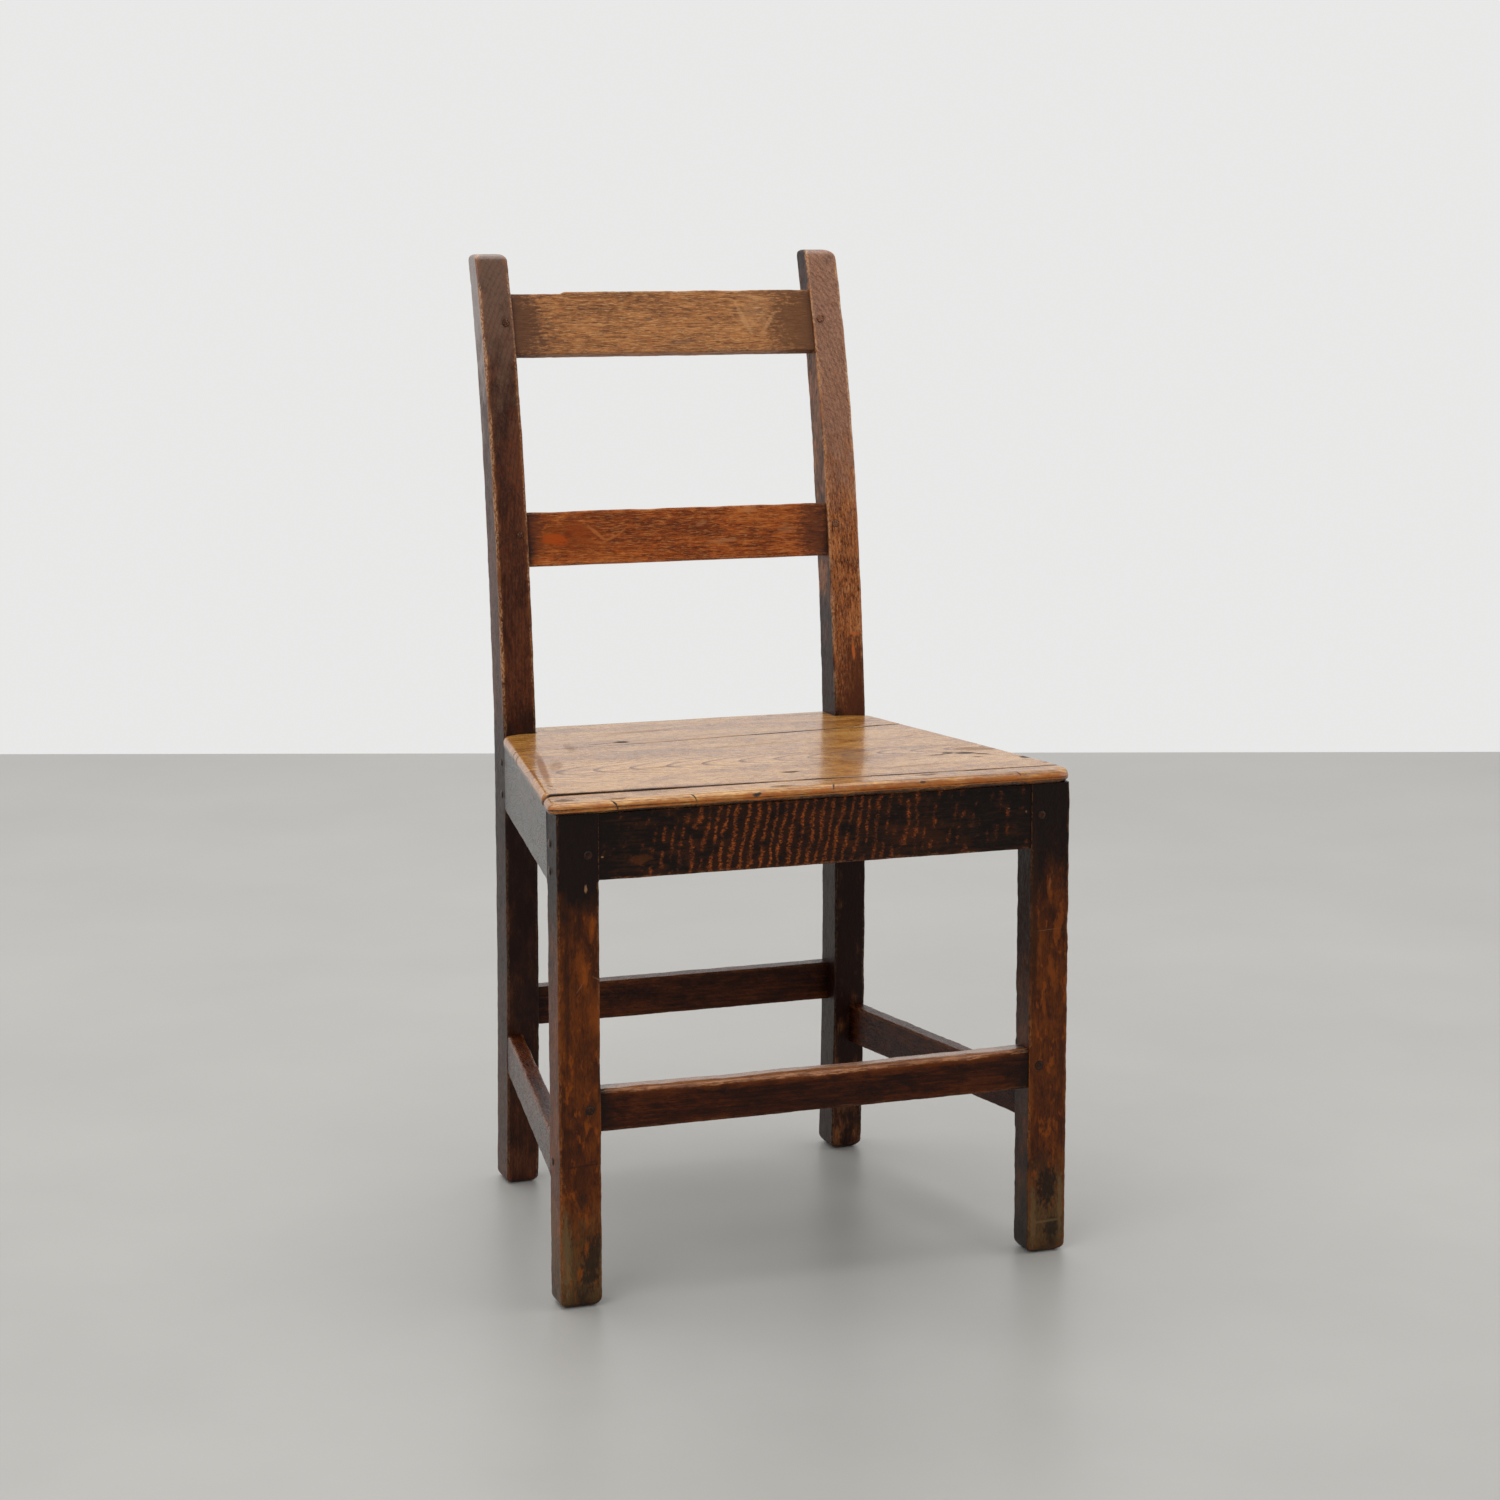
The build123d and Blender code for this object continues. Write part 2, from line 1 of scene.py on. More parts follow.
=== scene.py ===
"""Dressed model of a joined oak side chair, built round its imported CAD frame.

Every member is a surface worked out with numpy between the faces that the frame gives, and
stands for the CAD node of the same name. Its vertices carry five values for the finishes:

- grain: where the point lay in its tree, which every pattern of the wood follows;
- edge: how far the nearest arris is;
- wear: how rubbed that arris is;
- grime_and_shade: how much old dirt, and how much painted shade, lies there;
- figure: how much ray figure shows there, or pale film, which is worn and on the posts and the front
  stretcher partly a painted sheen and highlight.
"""

import logging
import math
from collections.abc import Sequence
from dataclasses import dataclass, field, fields, replace
from enum import Enum, IntEnum

import bpy
import numpy as np
from mathutils import Euler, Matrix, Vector


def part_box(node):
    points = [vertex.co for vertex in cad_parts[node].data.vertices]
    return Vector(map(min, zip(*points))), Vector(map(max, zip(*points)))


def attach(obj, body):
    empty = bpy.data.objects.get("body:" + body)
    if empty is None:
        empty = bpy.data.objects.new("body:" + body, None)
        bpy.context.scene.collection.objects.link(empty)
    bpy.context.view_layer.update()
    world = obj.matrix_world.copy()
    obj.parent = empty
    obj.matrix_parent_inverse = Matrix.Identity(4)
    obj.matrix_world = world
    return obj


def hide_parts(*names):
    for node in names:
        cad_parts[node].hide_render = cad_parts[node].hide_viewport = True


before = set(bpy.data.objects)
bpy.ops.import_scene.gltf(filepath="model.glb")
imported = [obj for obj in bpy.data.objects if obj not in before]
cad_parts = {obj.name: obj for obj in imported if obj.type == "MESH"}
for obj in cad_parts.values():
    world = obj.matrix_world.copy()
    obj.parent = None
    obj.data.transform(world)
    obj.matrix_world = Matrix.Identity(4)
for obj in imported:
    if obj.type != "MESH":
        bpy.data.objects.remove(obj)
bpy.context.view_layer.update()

BODY = "root"
MM = 0.001
SEED = 1790
X, Y, Z = np.eye(3)
Array = np.ndarray
Triple = tuple[float, float, float]
Colour = Triple
Four = tuple[float, float, float, float]
Stops = tuple[tuple[float, float], ...]

logging.basicConfig(level=logging.INFO, format="%(message)s")
LOG = logging.getLogger("chair")


class Side(Enum):
    """Left or right as the chair is faced; the value is the sign of X."""

    LEFT = -1
    RIGHT = 1

    @property
    def word(self) -> str:
        """The side's name, as nodes spell it."""
        return self.name.lower()


class Plane(Enum):
    """The pair of coordinates in which marks on a face are laid out."""

    LEVEL = (0, 1)
    UPRIGHT = (0, 2)


class Corner(IntEnum):
    """The four arrises of a section, in the order in which its outline runs."""

    PLUS_PLUS = 0
    MINUS_PLUS = 1
    MINUS_MINUS = 2
    PLUS_MINUS = 3


def node_box(node: str) -> Array:
    """The lowest and highest corners of a CAD node as a (2, 3) array."""
    return np.array([list(corner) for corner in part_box(node)])


def spans(*nodes: str) -> Array:
    """The lowest and highest points of CAD nodes, one row for each."""
    return np.array([node_box(node)[:, 2] for node in nodes])


def within(z: Array, members: Array, slack: float = 0.0) -> Array:
    """Which heights lie within a member's lowest and highest points, give or take slack."""
    return ((z[:, None] > members[:, 0] - slack) & (z[:, None] < members[:, 1] + slack)).any(1)


def line(x: Array | float, y: Array | float, z: Array | float) -> Array:
    """Points from their coordinates, each an array or one number, as an (n, 3) array."""
    return np.stack(np.broadcast_arrays(x, y, z), axis=-1)


# ---- unevenness ----
@dataclass(frozen=True)
class Waver:
    """Smooth seeded unevenness, mostly within -1.5 to 1.5.

    The value at p is the sum of cos(k.p + phase) over plane waves with random directions and
    phases, divided by the square root of their number. Wavelengths run from size / 1.5 to
    size / 0.5.
    """

    seed: int
    size: float
    waves: int = 14

    def at(self, points: Array) -> Array:
        """Value at each point.

        Args:
            points: array of shape (..., 3), in metres.
        Returns:
            Array of shape (...).
        """
        draw = np.random.default_rng(SEED + self.seed)
        heading = draw.normal(size=(self.waves, 3))
        heading /= np.linalg.norm(heading, axis=1, keepdims=True)
        heading *= 2 * np.pi / self.size * draw.uniform(0.5, 1.5, (self.waves, 1))
        phase = draw.uniform(0, 2 * np.pi, self.waves)
        return np.cos(points @ heading.T + phase).sum(-1) / math.sqrt(self.waves)

    def along(self, length: Array) -> Array:
        """Value at each place along one line.

        Args:
            length: places in metres.
        Returns:
            Array of the same shape.
        """
        draw = np.random.default_rng(SEED + self.seed)
        pitch = 2 * np.pi / self.size * draw.uniform(0.5, 1.5, self.waves)
        phase = draw.uniform(0, 2 * np.pi, self.waves)
        return np.cos(length[..., None] * pitch + phase).sum(-1) / math.sqrt(self.waves)


def profile(places: Array, stops: Stops) -> Array:
    """A value that runs straight from stop to stop, each a place in mm and its value."""
    at, value = np.array(stops).T
    return np.interp(places, at * MM, value)


@dataclass(frozen=True)
class Arris:
    """A worn long edge.

    Its radius is even * (1 + uneven * waver) plus chips, each
    bite * exp(-((s - place) / reach)^2).
    """

    even: float
    seed: int
    uneven: float = 0.3
    chips: int = 7
    bite: float = 0.8 * MM
    reach: float = 3.5 * MM
    least: float = 0.2 * MM
    long_waver: float = 45 * MM
    short_waver: float = 11 * MM

    def radius(self, length: Array) -> Array:
        """Radius at each place along the edge.

        Args:
            length: places in metres, (n,).
        Returns:
            Radii in metres, (n,), never under least.
        """
        draw = np.random.default_rng(SEED + self.seed)
        waver = (Waver(self.seed + 1, self.long_waver).along(length)
                 + Waver(self.seed + 2, self.short_waver).along(length) / 2)
        place = draw.uniform(length.min(), length.max(), self.chips)
        bite = self.bite * draw.uniform(0.2, 1.0, self.chips)
        chips = bite * np.exp(-(((length[:, None] - place) / self.reach) ** 2))
        return np.maximum(self.even * (1 + self.uneven * waver) + chips.sum(1), self.least)


def arrises(length: Array, radii: Sequence[float], seed: int, uneven: float) -> Array:
    """Radii, (n, 4), along a member's four arrises; radii are their even ones, in mm."""
    return np.stack([Arris(r * MM, seed + 10 * corner, uneven).radius(length)
                     for corner, r in enumerate(radii)], axis=1)


@dataclass(frozen=True)
class Log:
    """Where a piece lay in its tree.

    A point's grain coordinates are its place in the piece's own frame (first, second, along),
    moved by the distance from the heart of the log and sheared by the heart's slope.
    """

    heart: tuple[float, float] = (55 * MM, 28 * MM)
    slope: tuple[float, float] = (0.0, 0.0)
    start: float = 0.0

    def coordinates(self, points: Array, origin: Array, axes: Array) -> Array:
        """Grain coordinates of points.

        Args:
            points: (..., 3) places in the chair's frame.
            origin: (3,) middle of the piece.
            axes: (3, 3) rows first, second and along.
        Returns:
            (..., 3) array; the third coordinate runs along the log.
        """
        local = (points - origin) @ axes.T
        across = local[..., :2] + np.array(self.heart) + local[..., 2:] * np.array(self.slope)
        return np.concatenate([across, local[..., 2:] + self.start], axis=-1)


# ---- meshes ----
@dataclass
class Skin:
    """A closed surface, with what the finishes read at each of its vertices."""

    points: Array
    quads: Array
    tris: Array
    grain: Array
    edge: Array
    wear: Array
    grime_and_shade: Array
    figure: Array

    def faced_out(self) -> "Skin":
        """Turns the faces outwards, by the sign of the volume that they enclose.

        Returns:
            The skin itself.
        """
        tris = np.concatenate([self.quads[:, [0, 1, 2]], self.quads[:, [0, 2, 3]], self.tris])
        a, b, c = self.points[tris].transpose(1, 0, 2)
        if (a * np.cross(b, c)).sum() < 0:
            self.quads, self.tris = self.quads[:, ::-1], self.tris[:, ::-1]
        return self

    def mesh(self, name: str, crease: float) -> bpy.types.Mesh:
        """Puts the arrays into a mesh.

        Args:
            name: the mesh's name.
            crease: angle in radians above which an edge stays sharp.
        Returns:
            The new mesh, with its five attributes.
        """
        mesh = bpy.data.meshes.new(name)
        corners = np.concatenate([self.quads.ravel(), self.tris.ravel()]).astype(np.int32)
        sizes = np.repeat([4, 3], [len(self.quads), len(self.tris)])
        mesh.vertices.add(len(self.points))
        mesh.vertices.foreach_set("co", self.points.astype(np.float32).ravel())
        mesh.loops.add(len(corners))
        mesh.loops.foreach_set("vertex_index", corners)
        mesh.polygons.add(len(sizes))
        mesh.polygons.foreach_set("loop_start", (np.cumsum(sizes) - sizes).astype(np.int32))
        for label in ("edge", "wear", "grime_and_shade", "figure"):
            layer = mesh.attributes.new(label, "FLOAT", "POINT")
            layer.data.foreach_set("value", getattr(self, label).astype(np.float32).ravel())
        layer = mesh.attributes.new("grain", "FLOAT_VECTOR", "POINT")
        layer.data.foreach_set("vector", self.grain.astype(np.float32).ravel())
        mesh.update(calc_edges=True)
        mesh.shade_smooth()
        mesh.set_sharp_from_angle(angle=crease)
        return mesh


def tube_faces(rings: int, around: int) -> tuple[Array, Array]:
    """Faces of a tube of rings closed by one point at each end.

    Vertex i * around + j is point j of ring i; the two end points follow the rings.

    Args:
        rings: number of rings.
        around: points in each ring.
    Returns:
        (Q, 4) quads of the wall and (T, 3) triangles of the ends.
    """
    ring, point = np.meshgrid(np.arange(rings - 1), np.arange(around), indexing="ij")
    here = ring * around + point
    beside = ring * around + (point + 1) % around
    quads = np.stack([here, beside, beside + around, here + around], axis=-1).reshape(-1, 4)
    j = np.arange(around)
    ahead = (j + 1) % around
    last = (rings - 1) * around
    low = np.stack([np.full(around, rings * around), ahead, j], axis=-1)
    high = np.stack([np.full(around, rings * around + 1), last + j, last + ahead], axis=-1)
    return quads, np.concatenate([low, high])


def join_skins(skins: list[Skin]) -> Skin:
    """Joins several closed skins.

    Args:
        skins: the separate skins.
    Returns:
        One skin, in which each one's faces keep to its own points.
    """
    starts = np.cumsum([0] + [len(skin.points) for skin in skins[:-1]])
    joined = {}
    for item in fields(Skin):
        shifts = starts if item.name in ("quads", "tris") else 0 * starts
        joined[item.name] = np.concatenate([getattr(skin, item.name) + shift
                                            for skin, shift in zip(skins, shifts)])
    return Skin(**joined)


@dataclass
class Member:
    """A worn length of timber with a rounded rectangular section.

    At station i the section lies in the plane of first and second about spine[i]. Each arris is
    a quarter circle about a point that lies its radius in from both sides, and each side is a
    straight run between two arrises. The skin is then pressed in by a little smooth unevenness,
    hollow * clip(0.5 + 0.4 * waver, 0, 1.2). The distance to an arris is measured along the
    outline from the middle of its rounding, less blunt, so that the whole rounding reads as
    the arris itself. A half width, wear, grime_and_shade (old dirt and painted shade) or figure
    is one value or one for each station.
    """

    spine: Array
    first: Array
    second: Array
    half_first: Array | float
    half_second: Array | float
    arris: Array
    wear: Array | Four
    grime_and_shade: Array
    log: Log
    seed: int
    figure: Array | float = 0.0
    # face_shade: painted shade laid on whole faces, in the order that round_faces takes
    face_shade: Four = (0.0, 0.0, 0.0, 0.0)
    face_figure: Four = (0.0, 0.0, 0.0, 0.0)
    hollow: float = 0.25 * MM
    blunt: float = 1.5 * MM
    fullest: float = 0.98
    afar: float = 1.0
    arc: int = 6
    flat: int = 11

    def outline(self) -> tuple[Array, ...]:
        """The sections' outlines, where each arris is followed by the flat that leads to the next.

        Returns:
            Offsets along first and along second, (n, K), outward directions along first and
            along second, (K,), and the distance to each of the four arrises, (n, K, 4).
        """
        turn = np.linspace(0, np.pi / 2, self.arc)
        share = (1 - np.cos(np.pi * np.arange(1, self.flat + 1) / (self.flat + 1))) / 2
        half_a, half_b = (np.reshape(half, (-1, 1)) for half in (self.half_first, self.half_second))
        radius = np.minimum(self.arris, np.minimum(half_a, half_b) * self.fullest)
        corner = np.arange(4)
        following = (corner + 1) % 4
        angle = turn + corner[:, None] * np.pi / 2
        offsets, outward, spans = [], [], []
        for half, signs, wave in ((half_a, np.array([1, -1, -1, 1]), np.cos(angle)),
                                  (half_b, np.array([1, 1, -1, -1]), np.sin(angle))):
            bend = (signs * (half - radius))[..., None] + radius[..., None] * wave
            spans.append(bend[:, following, :1] - bend[..., -1:])
            offsets.append(np.concatenate([bend, bend[..., -1:] + spans[-1] * share], axis=-1))
            outward.append(np.concatenate([wave, np.repeat(wave[:, -1:], self.flat, axis=1)], axis=-1))
        run = np.hypot(*spans)
        start = np.clip(radius * np.pi / 4 - self.blunt, 0, None)[..., None]
        bent = np.clip(radius[..., None] * np.abs(turn - np.pi / 4) - self.blunt, 0, None)
        own = np.concatenate([bent, start + run * share], axis=-1)
        far = np.full((*own.shape, 4), self.afar)
        for this, after in zip(corner, following):
            far[:, this, :, this] = own[:, this]
            far[:, this, self.arc :, after] = start[:, after] + run[:, this] * (1 - share)
        rings = len(radius)
        return (*(part.reshape(rings, -1) for part in offsets), *(part.ravel() for part in outward),
                far.reshape(rings, -1, 4))

    def round_faces(self, faces: Four) -> Array:
        """A value of each face as it runs round the outline, changing evenly over the arrises.

        Args:
            faces: the values of the faces plus second, minus first, minus second, plus first.
        Returns:
            One value for each point of the outline.
        """
        share = np.linspace(0, 1, self.arc)
        return np.concatenate([np.concatenate([old + (new - old) * share, np.full(self.flat, new)])
                               for old, new in zip(np.roll(faces, 1), faces)])

    def skin(self) -> Skin:
        """Works out the member's surface.

        Returns:
            A closed skin: the sections joined by a wall, and one point at each end.
        """
        a, b, out_a, out_b, reach = self.outline()
        rings, around = a.shape
        first, second = (np.broadcast_to(axis, (rings, 3))[:, None]
                         for axis in (self.first, self.second))
        points = self.spine[:, None] + a[..., None] * first + b[..., None] * second
        out = out_a[..., None] * first + out_b[..., None] * second
        rough = Waver(self.seed, 60 * MM).at(points) + Waver(self.seed + 3, 17 * MM).at(points) / 3
        points = points - out * (self.hollow * np.clip(0.5 + 0.4 * rough, 0, 1.2))[..., None]
        nearest = reach.argmin(-1)[..., None]
        each_wear = np.broadcast_to(np.reshape(self.wear, (-1, 1, 4)), reach.shape)
        figure = np.reshape(self.figure, (-1, 1)) + self.round_faces(self.face_figure)
        every = np.concatenate([points.reshape(-1, 3), points[[0, -1]].mean(1)])
        along = self.spine[-1] - self.spine[0]
        axes = np.stack([first[rings // 2, 0], second[rings // 2, 0], along / np.linalg.norm(along)])

        def with_ends(values: Array) -> Array:
            """A vertex value for the wall and the two end points."""
            return np.concatenate([values.ravel(), values[[0, -1]].mean(1)])

        return Skin(
            every, *tube_faces(rings, around),
            grain=self.log.coordinates(every, self.spine.mean(0), axes), edge=with_ends(reach.min(-1)),
            wear=with_ends(np.take_along_axis(each_wear, nearest, -1)[..., 0]),
            grime_and_shade=with_ends(self.grime_and_shade[:, None] + self.round_faces(self.face_shade)),
            figure=with_ends(np.broadcast_to(figure, a.shape)),
        ).faced_out()


def stations(low: float, high: float, step: float, low_round: float = 0.0,
             high_round: float = 0.0) -> Array:
    """Places along a member, drawn together where an end is rounded.

    An end rounded by r has the places r * (1 - cos t) from it, for t from 0 to a right angle.

    Args:
        low, high: the two ends.
        step: about how far apart the places between the roundings lie.
        low_round, high_round: radii of the ends' roundings.
    Returns:
        The places, rising.
    """
    turn = np.linspace(0, np.pi / 2, 7)
    parts = [np.linspace(low + low_round, high - high_round, max(3, int((high - low) / step)))]
    if low_round:
        parts.insert(0, low + low_round * (1 - np.cos(turn))[:-1])
    if high_round:
        parts.append(high - high_round * (1 - np.cos(turn))[::-1][1:])
    return np.concatenate(parts)


def end_inset(gap: Array, radius: float) -> Array:
    """How far a rounded end has drawn in at a gap from its tip: r - sqrt(r^2 - (r - gap)^2)."""
    left = np.clip(radius - gap, 0, radius)
    return radius - np.sqrt(radius**2 - left**2)


# ---- node graphs ----
@dataclass(frozen=True, eq=False)
class Signal:
    """An output of a node. Arithmetic on it adds the node that works out the result."""

    graph: "Graph"
    socket: bpy.types.NodeSocket

    def __add__(self, other: "Value") -> "Signal":
        """This and the other."""
        return self.graph.math("ADD", self, other)

    def __sub__(self, other: "Value") -> "Signal":
        """This less the other."""
        return self.graph.math("SUBTRACT", self, other)

    def __rsub__(self, other: float) -> "Signal":
        """A number less this."""
        return self.graph.math("SUBTRACT", other, self)

    def __mul__(self, other: "Value") -> "Signal":
        """This times the other."""
        return self.graph.math("MULTIPLY", self, other)


Value = Signal | float | tuple[float, ...]
Feeds = dict[str | int, Value]


class Graph:
    """A node tree whose nodes are added by one call each."""

    def __init__(self, tree: bpy.types.NodeTree) -> None:
        """Takes over a tree and empties it."""
        self.tree = tree
        tree.nodes.clear()

    def feed(self, node: bpy.types.Node, feeds: Feeds) -> None:
        """Links inputs of a node to signals, or sets their own values.

        Args:
            node: the node.
            feeds: what its inputs take, by their names or numbers.
        """
        for key, value in feeds.items():
            socket = node.inputs[key]
            if isinstance(value, Signal):
                self.tree.links.new(value.socket, socket)
            elif socket.type == "RGBA":
                socket.default_value = (*value, 1.0)
            else:
                socket.default_value = value

    def add(self, kind: str, feeds: Feeds | None = None, **settings: object) -> bpy.types.Node:
        """Adds a node.

        Args:
            kind: its type, without the word ShaderNode.
            feeds: what its inputs take.
            settings: its properties.
        Returns:
            The new node.
        """
        node = self.tree.nodes.new(f"ShaderNode{kind}")
        for key, value in settings.items():
            setattr(node, key, value)
        self.feed(node, feeds or {})
        return node

    def tap(self, kind: str, feeds: Feeds | None = None, output: str | int = 0,
            **settings: object) -> Signal:
        """Adds a node and takes one of its outputs, by name or number."""
        return Signal(self, self.add(kind, feeds, **settings).outputs[output])

    def parts(self, vector: Value) -> list[Signal]:
        """The three coordinates of a vector."""
        return [Signal(self, part) for part in self.add("SeparateXYZ", {0: vector}).outputs]

    def math(self, operation: str, a: Value, b: Value = 0.0, clamp: bool = False) -> Signal:
        """One step of arithmetic, clamped to 0 to 1 where asked."""
        return self.tap("Math", {0: a, 1: b}, operation=operation, use_clamp=clamp)

    def noise(self, vector: Value, size: float, detail: float = 3.0, rough: float = 0.55,
              warp: float = 0.0) -> Signal:
        """Fractal noise from 0 to 1 whose features are about size metres wide."""
        return self.tap("TexNoise", {"Vector": vector, "Scale": 1 / size, "Detail": detail,
                                     "Roughness": rough, "Distortion": warp})

    def band(self, value: Value, low: float, high: float, top: float = 1.0,
             bottom: float = 0.0) -> Signal:
        """Bottom below low, top above high, and a smooth step between them."""
        return self.tap("MapRange", {0: value, 1: low, 2: high, 3: bottom, 4: top},
                        interpolation_type="SMOOTHSTEP")

    def ramp(self, value: Value, stops: Sequence[tuple[float, Colour]]) -> Signal:
        """A colour that runs through stops.

        Args:
            value: the place on the ramp.
            stops: two or more places, each with its colour.
        Returns:
            The colour.
        """
        node = self.add("ValToRGB", {0: value})
        elements = node.color_ramp.elements
        for element, (place, colour) in zip(elements, (stops[0], stops[-1])):
            element.position, element.color = place, (*colour, 1.0)
        for place, colour in stops[1:-1]:
            elements.new(place).color = (*colour, 1.0)
        return Signal(self, node.outputs[0])

    def mix(self, share: Value, first: Value, second: Value, blend: str = "MIX") -> Signal:
        """Two colours mixed or blended by a share."""
        return self.tap("Mix", {0: share, 6: first, 7: second}, output=2, data_type="RGBA",
                        blend_type=blend)


class Paint(Graph):
    """The graph of a material, round its one shader."""

    def __init__(self, name: str) -> None:
        """Makes the material and its shader.

        Args:
            name: the material's name.
        """
        self.material = bpy.data.materials.new(name)
        self.material.use_nodes = True
        super().__init__(self.material.node_tree)
        self.shader = self.add("BsdfPrincipled")
        self.add("OutputMaterial", {0: Signal(self, self.shader.outputs[0])})


class Timber(Paint):
    """The graph of a wood, whose patterns follow the grain."""

    def __init__(self, name: str) -> None:
        """Makes the material and reads what the skins say at each vertex.

        Args:
            name: the material's name.
        """
        super().__init__(name)
        self.grain = self.tap("Attribute", output="Vector", attribute_name="grain")
        self.edge, self.wear, self.grime_and_shade, self.figure = (
            self.tap("Attribute", output="Fac", attribute_name=label)
            for label in ("edge", "wear", "grime_and_shade", "figure"))

    def scaled(self, vector: Value, by: Triple) -> Signal:
        """A vector with each coordinate multiplied."""
        return self.tap("VectorMath", {0: vector, 1: by}, operation="MULTIPLY")

    def fibrous(self, along: float, size: float, detail: float = 3.0, rough: float = 0.55,
                warp: float = 0.0, across: float = 1.0) -> Signal:
        """Noise of about size metres, drawn out along the grain where along is under 1."""
        return self.noise(self.scaled(self.grain, (across, across, along)), size, detail, rough, warp)

    def rings(self, gap: float, warp: float) -> Signal:
        """Growth rings about the log's heart. At a scale of 1 there are 20 / (2 * pi) to a metre.

        Args:
            gap: from ring to ring, in metres.
            warp: how much they waver.
        Returns:
            A value that rises from 0 to 1 in each ring.
        """
        return self.tap("TexWave", {"Vector": self.scaled(self.grain, (1, 1, 0.03)),
                                    "Scale": 2 * math.pi / (20 * gap), "Distortion": warp,
                                    "Detail": 3.0, "Detail Scale": 0.12},
                        output="Fac", wave_type="RINGS", rings_direction="Z", wave_profile="SAW")

    def bump(self, height: Value, depth: float, strength: float, **under: Value) -> Signal:
        """A normal that follows a height of 0 to 1 over depth metres, over another Normal."""
        return self.tap("Bump", {"Height": height, "Distance": depth, "Strength": strength, **under})


# ---- finishes ----
@dataclass(frozen=True)
class Mark:
    """A knot, stain, check, rubbed spot or painted reflection: an ellipse with ragged edges,
    in mm and degrees.

    The polish is gone where it lies.
    """

    x: float
    y: float
    length: float
    width: float
    turn: float
    depth: float
    colour: Colour
    ragged: float

    def cover(self, g: Timber, place: Signal, rough: Signal) -> Signal:
        """How far the mark hides the wood: depth within the ellipse and 0 outside it.

        Args:
            g: the graph.
            place: the face's two coordinates.
            rough: noise about 0 that frays the edge.
        Returns:
            The cover.
        """
        laid = g.tap("Mapping", {
            "Vector": place, "Location": (self.x * MM, self.y * MM, 0.0),
            "Rotation": (0.0, 0.0, math.radians(self.turn)),
            "Scale": (self.length * MM / 2, self.width * MM / 2, 1.0)}, vector_type="TEXTURE")
        away = g.tap("VectorMath", {0: laid}, output="Value", operation="LENGTH")
        return self.depth - g.band(away + rough * (2.4 * self.ragged), 0.45, 1.1, self.depth)


def marks(colour: Colour, ragged: float, *rows: tuple[float, ...]) -> tuple[Mark, ...]:
    """Marks of one colour; a row is x, y, length, width, turn and depth."""
    return tuple(Mark(*row, colour, ragged) for row in rows)


